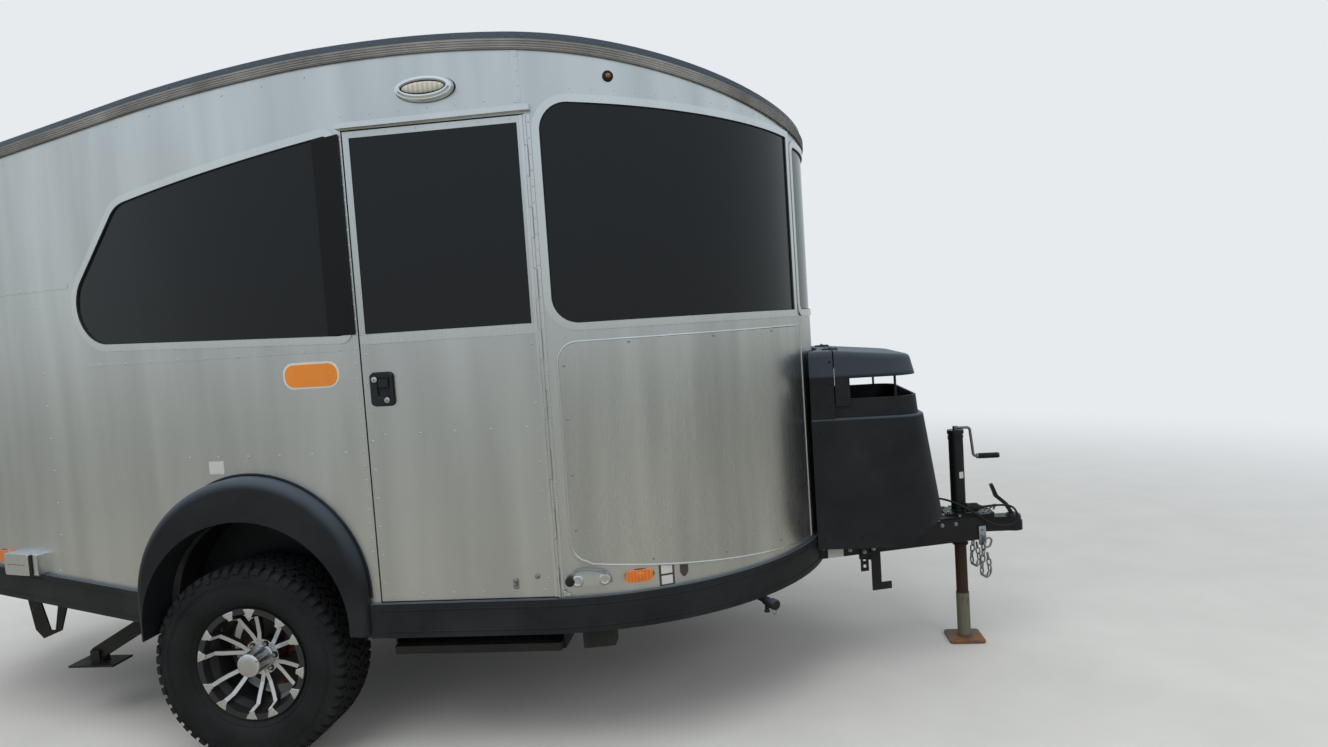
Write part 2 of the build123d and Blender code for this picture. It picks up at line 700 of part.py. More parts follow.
def make_tongue():
    """Coupler, jack, bottle tray, bottles and the cable."""
    frame_low, frame_high = KEEL_Z + FRAME_RISE, KEEL_Z + FRAME_RISE + TUBE_HEIGHT
    socket_radius = BALL_RADIUS + SOCKET_WALL
    socket_x = COUPLER_TIP_X - socket_radius
    base_z, top_z = COUPLER_Z - NECK_HALF_HEIGHT, COUPLER_Z + NECK_HALF_HEIGHT
    head_top, dome_top = COUPLER_Z + 8.0, top_z + 10.0
    head = Pos(socket_x, 0, (base_z + head_top) / 2) * Cylinder(socket_radius, head_top - base_z)
    dome = Pos(socket_x, 0, (base_z + dome_top) / 2) * Cylinder(socket_radius - 5.0, dome_top - base_z)
    head += fillet(dome.faces().sort_by(Axis.Z)[-1].edges(), 18.0)
    plate_low = frame_high + SEAT
    plate_high = plate_low + COUPLER_PLATE
    neck_back = TONGUE_END_X + 12.0
    neck = box((neck_back, socket_x), (-NECK_HALF_WIDTH, NECK_HALF_WIDTH), (base_z, top_z))
    neck += box((neck_back, neck_back + 48.0), (-NECK_HALF_WIDTH, NECK_HALF_WIDTH), (base_z, plate_high))
    wing_front = neck_back + 28.0
    wide, narrow = WING_BACK_HALF_WIDTH, WING_FRONT_HALF_WIDTH
    outline = Polyline(
        (COUPLER_BACK_X, wide), (wing_front, narrow), (wing_front, -narrow), (COUPLER_BACK_X, -wide),
        close=True,
    )
    wings = Pos(0, 0, plate_low) * extrude(make_face(outline), COUPLER_PLATE)
    wings -= Pos(JACK_X, 0, plate_low) * Cylinder(JACK_RADIUS + 1.0, 100.0)
    lever_line = Polyline(
        (socket_x - 8.0, top_z + 2.0), (socket_x - 34.0, top_z + 46.0),
        (socket_x - 74.0, top_z + 82.0), (socket_x - 92.0, top_z + 138.0),
        (socket_x - 80.0, top_z + 142.0), (socket_x - 60.0, top_z + 92.0),
        (socket_x - 20.0, top_z + 54.0), (socket_x + 8.0, top_z + 2.0), close=True,
    )
    lever = extrude(Plane.XZ * make_face(lever_line), LEVER_WIDTH / 2, both=True)
    coupler = head + neck + wings + lever
    coupler -= Pos(socket_x, 0, base_z) * Cylinder(BALL_RADIUS + 0.4, 2 * (NECK_HALF_HEIGHT - 1.0))
    coupler -= Pos(socket_x, 0, COUPLER_Z - 1.0) * Sphere(BALL_RADIUS + 0.4)
    save("coupler", coupler)
    tray_low = frame_high + SEAT
    tray_half = COVER_HALF_WIDTH - COVER_WALL - SEAT
    tray = box((NOSE_X, TRAY_FRONT_X), (-tray_half, tray_half), (tray_low, tray_low + TRAY_THICKNESS))
    save("bottle_tray", tray - nose_cylinder(COVER_NOSE_GAP + COVER_WALL + SEAT))
    bottle_low = tray_low + TRAY_THICKNESS + SEAT
    collar_radius, collar_top = BOTTLE_RADIUS - COLLAR_INSET, BOTTLE_HEIGHT + COLLAR_RISE
    outline = Polyline(
        (0, 0), (BOTTLE_RADIUS - 50.0, 0), (BOTTLE_RADIUS, 50.0), (BOTTLE_RADIUS, BOTTLE_HEIGHT - 70.0),
        (collar_radius, BOTTLE_HEIGHT - 12.0), (collar_radius, collar_top),
        (collar_radius - COLLAR_WALL, collar_top), (collar_radius - COLLAR_WALL, BOTTLE_HEIGHT),
        (0, BOTTLE_HEIGHT), close=True,
    )
    bottle = revolve(Plane.XZ * make_face(outline), Axis.Z)
    save("gas_bottles", *both_sides(Pos(BOTTLE_X, BOTTLE_Y, bottle_low) * bottle))
    jack = Pos(JACK_X, 0, (JACK_BOTTOM_Z + JACK_TOP_Z) / 2) * (
        Cylinder(JACK_RADIUS, JACK_TOP_Z - JACK_BOTTOM_Z)
        - Cylinder(JACK_LEG_RADIUS + SEAT, JACK_TOP_Z - JACK_BOTTOM_Z)
    )
    flange_low = plate_high + SEAT
    flange = square_block(JACK_X, JACK_PLATE / 2, JACK_PLATE / 2, flange_low, flange_low + 8.0)
    jack += flange - Pos(JACK_X, 0, frame_high) * Cylinder(JACK_LEG_RADIUS + SEAT, 100.0)
    cap_height = 16.0
    jack += Pos(JACK_X, 0, JACK_TOP_Z + cap_height / 2) * Cylinder(JACK_RADIUS + 4.0, cap_height)
    save("jack_tube", jack)
    leg_top = JACK_BOTTOM_Z + 180.0
    leg = Pos(JACK_X, 0, (FOOT_THICKNESS + leg_top) / 2) * Cylinder(
        JACK_LEG_RADIUS, leg_top - FOOT_THICKNESS)
    leg += Pos(JACK_X, 0, (FOOT_THICKNESS + JACK_SLEEVE_TOP_Z) / 2) * Cylinder(
        JACK_SLEEVE_RADIUS, JACK_SLEEVE_TOP_Z - FOOT_THICKNESS)
    foot = extrude(Pos(JACK_X, 0) * RectangleRounded(FOOT_SIZE, FOOT_SIZE, 16.0), FOOT_THICKNESS)
    save("jack_leg", leg + foot)
    crank_low = JACK_TOP_Z + cap_height + SEAT
    crank_z = crank_low + CRANK_ROD_RADIUS + 2.0
    rod_end = JACK_X + JACK_RADIUS + CRANK_REACH
    crank = Pos(JACK_X, 0, crank_low + 8.0) * Cylinder(11.0, 16.0)
    crank += bent_rod(
        ((JACK_X, 0, crank_z), (rod_end - 12.0, 0, crank_z), (rod_end, 0, crank_z - CRANK_DROP),
         (rod_end + GRIP_LENGTH, 0, crank_z - CRANK_DROP)), CRANK_ROD_RADIUS, 14.0)
    crank += Pos(rod_end + GRIP_LENGTH / 2 + 12.0, 0, crank_z - CRANK_DROP) * Rot(0, 90, 0) * Cylinder(
        GRIP_RADIUS, GRIP_LENGTH)
    save("jack_crank", crank)
    save("tongue_cable", bent_rod(CABLE_POINTS, CABLE_RADIUS, CABLE_BEND))


def nose_cylinder(gap):
    """Upright cylinder round the nose, larger than it by gap."""
    return Pos(NOSE_X, 0, REACH / 2) * Cylinder(HALF_WIDTH + gap, REACH)


def cover_part(points, half_width, rounding):
    """Block across the tongue from its side outline, with the two front corners rounded."""
    block = extrude(Plane.XZ * make_face(Polyline(*points, close=True)), half_width, both=True)
    side_edges = [edge for edge in block.edges() if abs(edge.center().Y) > half_width - 1.0]
    corners = sorted(side_edges, key=lambda edge: edge.center().X)[-2:]
    return fillet(corners, rounding)


def make_cover():
    """Housing round the gas bottles, and its lid, hinged on the hood against the nose."""
    wall = COVER_WALL

    def hollow(outer, inner):
        return (outer - nose_cylinder(COVER_NOSE_GAP)) - (inner - nose_cylinder(COVER_NOSE_GAP + wall))

    half, rounding = COVER_HALF_WIDTH, COVER_ROUND
    lower = cover_part(
        ((NOSE_X, COVER_BOTTOM_Z), (COVER_CHIN_X, COVER_BOTTOM_Z), (COVER_FRONT_X, COVER_CHIN_Z),
         (SHOULDER_FRONT_X, SHOULDER_Z), (NOSE_X, SHOULDER_Z)), half, rounding)
    lower = fillet(lower.faces().sort_by(Axis.Z)[-1].edges(), 10.0)
    front_lean = (COVER_FRONT_X - SHOULDER_FRONT_X) / (SHOULDER_Z - COVER_CHIN_Z)
    lower_inside = cover_part(
        ((NOSE_X, 0.0), (COVER_FRONT_X - wall + front_lean * COVER_CHIN_Z, 0.0),
         (SHOULDER_FRONT_X - wall, SHOULDER_Z - wall), (NOSE_X, SHOULDER_Z - wall)),
        half - wall, rounding - wall)
    sill_front = SHOULDER_FRONT_X - SILL_INSET
    sill_half, sill_round = half - SILL_INSET, rounding - SILL_INSET
    sill = cover_part(
        ((NOSE_X, SHOULDER_Z - wall), (sill_front, SHOULDER_Z - wall), (sill_front - 8.0, SILL_Z),
         (NOSE_X, SILL_Z)), sill_half, sill_round)
    sill_inside = cover_part(
        ((NOSE_X, SHOULDER_Z - 2 * wall), (sill_front - wall, SHOULDER_Z - 2 * wall),
         (sill_front - wall - 8.0, SILL_Z + 1.0), (NOSE_X, SILL_Z + 1.0)),
        sill_half - wall, sill_round - wall)
    hood_half = half - LID_INSET
    hood = box((NOSE_X, HOOD_FRONT_X), (-hood_half, hood_half), (SHOULDER_Z - wall, HOOD_TOP_Z))
    hood = fillet(hood.edges().filter_by(Axis.X).sort_by(Axis.Z)[-2:], 24.0)
    hood_inside = box(
        (NOSE_X, HOOD_FRONT_X + 1.0), (wall - hood_half, hood_half - wall),
        (SHOULDER_Z, HOOD_TOP_Z - wall))
    body = hollow(lower + sill + hood, lower_inside + sill_inside + hood_inside)
    for tube in tongue_tubes(SHUT_GAP):
        body -= tube
    post_y = sill_half - wall - 1.0
    lid_slope = (HOOD_TOP_Z - LID_TOP_FRONT_Z) / (LID_TOP_FRONT_X - HOOD_FRONT_X)
    post_top = HOOD_TOP_Z - lid_slope * (POST_X - HOOD_FRONT_X) - wall - 2.0
    for y in (-post_y, post_y):
        body += Pos(POST_X, y, (SILL_Z - wall + post_top) / 2) * Cylinder(
            POST_RADIUS, post_top - SILL_Z + wall)
    body -= Pos(*CABLE_POINTS[0]) * Rot(0, 90, 0) * Cylinder(CABLE_RADIUS + 1.0, 80.0)
    lid_back = HOOD_FRONT_X + SHUT_GAP
    lid = cover_part(
        ((lid_back, LID_DROP_Z), (LID_DROP_FRONT_X, LID_DROP_Z), (LID_DROP_FRONT_X, LID_SIDE_Z),
         (LID_FRONT_X, LID_SIDE_Z), (LID_TOP_FRONT_X, LID_TOP_FRONT_Z), (lid_back, HOOD_TOP_Z)),
        hood_half, rounding - LID_INSET)
    top_edges = lid.faces().sort_by(Axis.Z)[-1].edges()
    lid = fillet([edge for edge in top_edges if edge.center().X > lid_back + 1.0], 24.0)
    lid_lean = (LID_FRONT_X - LID_TOP_FRONT_X) / (LID_TOP_FRONT_Z - LID_SIDE_Z)
    lid -= cover_part(
        ((lid_back - 1.0, LID_DROP_Z - wall),
         (LID_FRONT_X - wall + lid_lean * (LID_SIDE_Z - LID_DROP_Z + wall), LID_DROP_Z - wall),
         (LID_TOP_FRONT_X - wall, LID_TOP_FRONT_Z - wall), (lid_back - 1.0, HOOD_TOP_Z - wall)),
        hood_half - wall, rounding - LID_INSET - wall)
    axis_x, axis_z = HOOD_FRONT_X + SHUT_GAP / 2, HOOD_TOP_Z + LID_HINGE_RISE
    leaf = 30.0
    for y in (-LID_HINGE_Y, LID_HINGE_Y):
        body += cross_pin(axis_x, y, axis_z, LID_HINGE_RADIUS, LID_KNUCKLE)
        body += box((axis_x - leaf, axis_x), (y - LID_KNUCKLE / 2, y + LID_KNUCKLE / 2),
                    (HOOD_TOP_Z - wall / 2, axis_z))
        for side in (-1, 1):
            middle = y + side * (LID_KNUCKLE * 0.75 + PIVOT_GAP)
            quarter = LID_KNUCKLE / 4
            lid += cross_pin(axis_x, middle, axis_z, LID_HINGE_RADIUS, 2 * quarter)
            lid += box((axis_x, axis_x + leaf), (middle - quarter, middle + quarter),
                       (HOOD_TOP_Z - wall, axis_z))
    save("gas_cover", body)
    save("gas_lid", lid)


TONGUE_RUN = Vector(TONGUE_END_X - FRAME_FRONT_X, RAIL_Y - TONGUE_END_Y, 0).normalized()
TONGUE_SLANT = degrees(acos(TONGUE_RUN.X))


def beside_tube(x, z, thickness):
    """Place on the outer face of the right tube of the tongue, turned along it."""
    y = -TONGUE_END_Y - (TONGUE_END_X - x) * TONGUE_RUN.Y / TONGUE_RUN.X
    outward = Vector(TONGUE_RUN.Y, -TONGUE_RUN.X, 0)
    centre = Vector(x, y, z) + outward * (TUBE_WIDTH / 2 + SEAT + thickness / 2)
    return Pos(*centre) * Rot(0, 0, TONGUE_SLANT)


def on_tube(x, width, thickness, low, high):
    """Upright bar on the outer face of the right tube of the tongue."""
    return beside_tube(x, (low + high) / 2, thickness) * Box(width, thickness, high - low)


def link(length, width, wire):
    """One link with its long axis upright, across the tube that it hangs from."""
    ring = SlotOverall(length, width) - SlotOverall(length - 2 * wire, width - 2 * wire)
    return Rot(0, 90, 0) * extrude(ring, wire / 2, both=True)


def make_chains():
    """Safety chains, each a row of links that ends in a hook."""
    plate_thickness = 6.0
    frame_high = KEEL_Z + FRAME_RISE + TUBE_HEIGHT
    chain = on_tube(CHAIN_PLATE_X, 34.0, plate_thickness, CHAIN_PLATE_BOTTOM_Z, frame_high - 40.0)
    chain -= beside_tube(CHAIN_PLATE_X, CHAIN_HOLE_Z, plate_thickness) * Rot(90, 0, 0) * Cylinder(
        CHAIN_HOLE_RADIUS, 4 * plate_thickness)
    top = CHAIN_HOLE_Z - CHAIN_HOLE_RADIUS - LINK_BITE + LINK_WIRE
    for index in range(LINK_COUNT):
        place = beside_tube(CHAIN_PLATE_X, top - LINK_LENGTH / 2, plate_thickness)
        chain += place * Rot(0, 0, 90.0 * (index % 2)) * link(LINK_LENGTH, LINK_WIDTH, LINK_WIRE)
        top -= LINK_LENGTH - 2 * LINK_WIRE + LINK_BITE
    top += HOOK_WIRE - LINK_WIRE
    hook = link(HOOK_LENGTH, HOOK_WIDTH, HOOK_WIRE)
    hook -= Pos(0, HOOK_WIDTH / 2, HOOK_LENGTH / 8) * Box(
        2 * HOOK_WIRE, 2 * HOOK_WIRE + 2.0, HOOK_LENGTH / 5)
    chain += beside_tube(CHAIN_PLATE_X, top - HOOK_LENGTH / 2, plate_thickness) * Rot(
        0, 0, 90.0 * (LINK_COUNT % 2)) * hook
    save("safety_chains", *both_sides(chain))


def make_underbody():
    """Hooked arms and straps on the tongue, loops behind the wheels and the drain box."""
    frame_high = KEEL_Z + FRAME_RISE + TUBE_HEIGHT
    arm = on_tube(HOOK_X, 40.0, 8.0, HOOK_BOTTOM_Z, frame_high - 12.0)
    arm += on_tube(HOOK_X + 22.0, 84.0, 8.0, HOOK_BOTTOM_Z, HOOK_BOTTOM_Z + 30.0)
    strap = on_tube(STRAP_X, 34.0, 6.0, STRAP_BOTTOM_Z, frame_high - 12.0)
    for step in range(3):
        slot_low = STRAP_BOTTOM_Z + (2 * step + 1) * STRAP_SLOT
        strap -= on_tube(STRAP_X, STRAP_SLOT, 30.0, slot_low, slot_low + STRAP_SLOT)

    loop_face = make_face(Polyline(*LOOP_OUTLINE, close=True))
    loop_face -= make_face(Polyline(*LOOP_HOLE, close=True))
    loop = Pos(0, -RAIL_Y - TUBE_WIDTH / 2 - SEAT, 0) * extrude(Plane.XZ * loop_face, LOOP_THICKNESS)
    drain_box = (plan_block(2.0) - plan_block(2.0 + DRAIN_BOX_DEPTH)) & box(
        DRAIN_BOX_X, (-REACH, 0), (DRAIN_BOX_BOTTOM_Z, KEEL_Z - SEAT))
    save("underbody_fittings", *both_sides(arm), *both_sides(strap), *both_sides(loop), drain_box)


# Wheels

def wheel_place(shape):
    """Turn a shape made round Z so that its axis lies across, at the right wheel."""
    return Pos(0, -WHEEL_Y, WHEEL_Z) * Rot(90, 0, 0) * shape


def spoke(side):
    """Outline of one slim spoke of a pair, along +X, with its flared tip on the lip."""
    centres = [Vector(x, side * y) for x, y in SPOKE_LINE]
    near, far = [], []
    for index, point in enumerate(centres):
        before, after = centres[max(index - 1, 0)], centres[min(index + 1, len(centres) - 1)]
        along = (after - before).normalized()
        across = Vector(-along.Y, along.X) * (SPOKE_WIDTH / 2)
        near.append(point - across)
        far.append(point + across)
    outward = centres[-1].normalized()
    across = Vector(-outward.Y, outward.X)
    inner, outer = outward * TIP_INNER_RADIUS, outward * (TIP_OUTER_RADIUS + 4.0)
    near += [inner - across * SPOKE_WIDTH / 2, outer - across * TIP_WIDTH / 2]
    far += [inner + across * SPOKE_WIDTH / 2, outer + across * TIP_WIDTH / 2]
    return make_face(Polyline(*[(p.X, p.Y) for p in near + far[::-1]], close=True))


def make_wheels():
    half = TYRE_WIDTH / 2
    bead_y = RIM_WIDTH / 2 - FLANGE_WIDTH - 1.0
    quarter = [
        (BEAD_RADIUS + SEAT, bead_y), (FLANGE_RADIUS + 6.0, bead_y),
        (BULGE_RADIUS, half), (TYRE_RADIUS, half - 12.0),
    ]
    section = make_face(Polyline(*quarter, *[(x, -y) for x, y in reversed(quarter)], close=True))
    for radius, rounding in ((TYRE_RADIUS, 26.0), (BULGE_RADIUS, 40.0)):
        corners = [corner for corner in section.vertices() if abs(corner.X - radius) < 1.0]
        section = fillet(corners, rounding)
    tyre = revolve(Plane.XZ * section, Axis.Z)
    lip = RIM_WIDTH / 2
    barrel_outline = [
        (FLANGE_RADIUS, lip), (FLANGE_RADIUS, lip - FLANGE_WIDTH),
        (BEAD_RADIUS, lip - FLANGE_WIDTH - 0.5),
        (BEAD_RADIUS, lip - 40.0), (BEAD_RADIUS - 16.0, lip - 60.0), (BEAD_RADIUS - 16.0, 50.0 - lip),
        (BEAD_RADIUS, 34.0 - lip), (BEAD_RADIUS, FLANGE_WIDTH + 0.5 - lip),
        (FLANGE_RADIUS, FLANGE_WIDTH - lip), (FLANGE_RADIUS, -lip), (BEAD_RADIUS - 6.0, -lip),
        (BEAD_RADIUS - 22.0, 44.0 - lip),
        (BEAD_RADIUS - 22.0, lip - 66.0), (BEAD_RADIUS - 7.0, lip - 40.0), (BEAD_RADIUS - 7.0, lip),
    ]
    rim = revolve(Plane.XZ * make_face(Polyline(*barrel_outline, close=True)), Axis.Z)
    hub_back = HUB_FACE - HUB_THICKNESS
    dish_outline = [
        (0.0, hub_back), (SPOKE_LINE[1][0], hub_back + 8.0), (SPOKE_LINE[-1][0], lip - 66.0),
        (TIP_INNER_RADIUS, lip - 46.0), (BEAD_RADIUS - 4.0, lip - 30.0), (BEAD_RADIUS - 4.0, lip - 10.0),
        (TIP_OUTER_RADIUS, lip - 8.0), (TIP_OUTER_RADIUS, lip), (TIP_INNER_RADIUS, lip - 2.0),
        (SPOKE_LINE[-1][0], lip - 40.0), (SPOKE_LINE[1][0], HUB_FACE + 6.0), (SPOKE_LINE[0][0], HUB_FACE),
        (0.0, HUB_FACE),
    ]
    dish = revolve(Plane.XZ * make_face(Polyline(*dish_outline, close=True)), Axis.Z)
    spokes = []
    for pair in range(SPOKE_PAIRS):
        for side in (-1, 1):
            spokes.append(Rot(0, 0, SPOKE_PHASE + pair * 360.0 / SPOKE_PAIRS) * extrude(spoke(side), lip))
    rim += dish & sum_shapes(spokes)
    hub = Pos(0, 0, hub_back + HUB_THICKNESS / 2) * Cylinder(HUB_RADIUS, HUB_THICKNESS)
    cap = Pos(0, 0, (hub_back + CAP_FACE) / 2) * Cylinder(CAP_RADIUS, CAP_FACE - hub_back)
    cap = fillet(cap.faces().sort_by(Axis.Z)[-1].edges(), 7.0)
    for lug in range(SPOKE_PAIRS):
        place = polar((0, 0), LUG_CIRCLE, SPOKE_PHASE + (lug + 0.5) * 360.0 / SPOKE_PAIRS)
        hub -= Pos(*place, HUB_FACE) * Cylinder(LUG_RADIUS + 4.0, 16.0)
    drum_back = AXLE_END_Y + 20.0 + ARM_THICKNESS + 12.0 + DRUM_BACK_GAP - WHEEL_Y
    hub_seat = hub_back - SEAT
    drum = Pos(0, 0, drum_back + DRUM_WIDTH / 2) * Cylinder(DRUM_RADIUS, DRUM_WIDTH)
    neck_low = drum_back + DRUM_WIDTH
    drum += Pos(0, 0, (neck_low + hub_seat) / 2) * Cylinder(56.0, hub_seat - neck_low)
    for name, shape in (("tyre", tyre), ("rim", rim + hub + cap), ("brake_drum", drum)):
        right = wheel_place(shape)
        save(name + "_right", right)
        save(name + "_left", mirror(right, Plane.XZ))


def make_axle():
    top_z = KEEL_Z + FRAME_RISE - SEAT
    tube = box((AXLE_AHEAD - AXLE_TUBE / 2, AXLE_AHEAD + AXLE_TUBE / 2), (-AXLE_END_Y, AXLE_END_Y),
               (top_z - AXLE_TUBE, top_z))
    save("axle_beam", tube)
    arm_y = AXLE_END_Y + 20.0
    outline = make_hull(
        [
            Pos(0, WHEEL_Z) * Circle(34.0).edge(),
            Pos(AXLE_AHEAD, top_z - AXLE_TUBE / 2) * Circle(34.0).edge(),
        ]
    )
    arm = Pos(0, -arm_y, 0) * extrude(Plane.XZ * outline, ARM_THICKNESS)
    stub_end = AXLE_END_Y + SEAT
    stub = Pos(AXLE_AHEAD, -(arm_y + 1.0 + stub_end) / 2, top_z - AXLE_TUBE / 2) * Rot(90, 0, 0) * Cylinder(
        24.0, arm_y + 1.0 - stub_end)
    plate_y = arm_y + ARM_THICKNESS
    plate = Pos(0, -plate_y - 6.0, WHEEL_Z) * Rot(90, 0, 0) * Cylinder(DRUM_RADIUS + 2.0, 12.0)
    spindle = Pos(0, -(plate_y + 12.0 + DRUM_BACK_GAP / 2), WHEEL_Z) * Rot(90, 0, 0) * Cylinder(
        22.0, DRUM_BACK_GAP - PIN_CLEARANCE)
    save("suspension_arms", *both_sides(arm + stub + plate + spindle))


# Door, hatch, step and stabilisers

def make_door():
    front, back = DOOR_FRONT_X, DOOR_BACK_X
    panel = skin(0, WALL) & box((back, front), (-REACH, 0), (DOOR_BOTTOM_Z, DOOR_TOP_Z))
    window_hole = box(
        (back + DOOR_FRAME, front - DOOR_FRAME), (-REACH, 0), (DOOR_GLASS_Z, DOOR_TOP_Z - DOOR_FRAME)
    )
    save("entry_door", panel - window_hole)
    pane = skin(GLASS_INSET, GLASS_INSET + GLASS_THICKNESS) & box(
        (back + DOOR_FRAME + SEAT, front - DOOR_FRAME - SEAT), (-REACH, 0),
        (DOOR_GLASS_Z + SEAT, DOOR_TOP_Z - DOOR_FRAME - SEAT),
    )
    save("door_glass", pane)
    hinge_x, hinge_y = DOOR_FRONT_X + HINGE_SETBACK, -HALF_WIDTH - HINGE_PROUD
    pitch = (DOOR_TOP_Z - DOOR_BOTTOM_Z) / (2 * HINGE_KNUCKLES)
    for name, first, leaf_range in (
        ("door_hinge_moving", 0, (hinge_x - HINGE_LEAF, hinge_x)),
        ("door_hinge_fixed", 1, (hinge_x, hinge_x + HINGE_LEAF)),
    ):
        leaf = skin(-SEAT - HINGE_LEAF_THICKNESS, -SEAT)
        leaf &= box(leaf_range, (-REACH, 0), (DOOR_BOTTOM_Z, DOOR_TOP_Z))
        knuckles = []
        for index in range(HINGE_KNUCKLES):
            own = DOOR_BOTTOM_Z + (2 * index + first + 0.5) * pitch
            other = DOOR_BOTTOM_Z + (2 * index + 1.5 - first) * pitch
            leaf -= Pos(hinge_x, hinge_y, other) * Box(
                2 * (HINGE_RADIUS + KNUCKLE_GAP), 2 * HINGE_LEAF, pitch)
            knuckles.append(Pos(hinge_x, hinge_y, own) * Cylinder(HINGE_RADIUS, pitch - KNUCKLE_GAP))
        save(name, sum_shapes([leaf] + knuckles))
    face_y = -HALF_WIDTH - SEAT - HANDLE_DEPTH
    handle = Pos(HANDLE_X, face_y + HANDLE_DEPTH / 2, HANDLE_Z) * Box(
        HANDLE_WIDTH, HANDLE_DEPTH, HANDLE_HEIGHT)
    handle = fillet(handle.edges().filter_by(Axis.Y), 14.0)
    recess = Pos(HANDLE_X + 8.0, face_y, HANDLE_Z + 6.0) * Box(
        HANDLE_WIDTH - 34.0, 2 * HANDLE_RECESS, HANDLE_HEIGHT - 44.0)
    handle -= fillet(recess.edges().filter_by(Axis.Y), 8.0)
    paddle = Pos(HANDLE_X + 8.0, face_y + HANDLE_DEPTH / 2 - 3.0, HANDLE_Z + 22.0) * Box(
        HANDLE_WIDTH - 44.0, HANDLE_DEPTH, 28.0)
    handle += paddle
    for x, z in ((HANDLE_X - 22.0, HANDLE_Z + 34.0), (HANDLE_X + 18.0, HANDLE_Z - 38.0)):
        handle += cross_pin(x, face_y, z, HANDLE_LOCK_RADIUS, 8.0)
    save("door_handle", handle)


def make_hatch():
    panel = (skin(0, WALL) & hatch_block(-SHUT_GAP)) - hatch_glass_block(0)
    axis_x, axis_z = TAIL_X - HATCH_HINGE_SETBACK, HATCH_TOP_Z + HATCH_HINGE_SETBACK
    leaf_skin = skin(-SEAT - HINGE_LEAF_THICKNESS, 0)
    fixed, moving = [], []
    centre_half, side_half = HATCH_CENTRE_KNUCKLE / 2, HATCH_SIDE_KNUCKLE / 2
    for y in (-HATCH_HINGE_Y, HATCH_HINGE_Y):
        knuckle = cross_pin(axis_x, y, axis_z, HATCH_HINGE_RADIUS, HATCH_CENTRE_KNUCKLE)
        arm = box(
            (axis_x, axis_x + 60.0), (y - centre_half, y + centre_half), (axis_z - 5.0, axis_z + 5.0))
        leaf = (leaf_skin - skin(-SEAT, 0)) & box(
            (-REACH, 0), (y - 30.0, y + 30.0), (axis_z - 5.0, axis_z + 34.0))
        fixed.append(sum_shapes([knuckle, leaf, arm - plan_block(-SEAT)]))
        for side in (-1, 1):
            middle = y + side * (centre_half + PIVOT_GAP + side_half)
            wide = (middle - side_half, middle + side_half)
            knuckle = cross_pin(axis_x, middle, axis_z, HATCH_HINGE_RADIUS, HATCH_SIDE_KNUCKLE)
            arm = box((axis_x - 5.0, axis_x + 5.0), wide, (axis_z - 34.0, axis_z))
            reach = box((axis_x - 5.0, axis_x + 60.0), wide, (axis_z - 42.0, axis_z - 30.0))
            moving += [knuckle, arm, reach - plan_block(WALL / 2)]
    save("rear_hatch", sum_shapes([panel] + moving))
    save("hatch_hinges", *fixed)
    save("hatch_glass", skin(GLASS_INSET, GLASS_INSET + GLASS_THICKNESS) & hatch_glass_block(-SEAT))


def make_step():
    """Tread that slides out from under the door, and the two slides that carry it."""
    low = STEP_Z - STEP_THICKNESS / 2
    high = STEP_Z + STEP_THICKNESS / 2
    tread = box((STEP_BACK_X, STEP_FRONT_X), (-STEP_EDGE_Y, STEP_DEPTH - STEP_EDGE_Y), (low, high))
    tread = fillet(tread.edges().filter_by(Axis.Z), 12.0)
    save("entry_step", tread)
    slides = []
    for edge, outward in ((STEP_BACK_X, -1), (STEP_FRONT_X, 1)):
        near = edge + outward * STEP_SLIDE_GAP
        wall = sorted((near, near + outward * 6.0))
        lip = sorted((near - outward * 18.0, near + outward * 6.0))
        reach_y = (-SLIDE_FRONT_Y, TUBE_WIDTH / 2 - RAIL_Y)
        slide = box(wall, reach_y, (low - 5.0, KEEL_Z + FRAME_RISE - SEAT))
        slide += box(lip, reach_y, (low - 5.0, low - SEAT))
        slides.append(slide)
    save("step_slides", *slides)


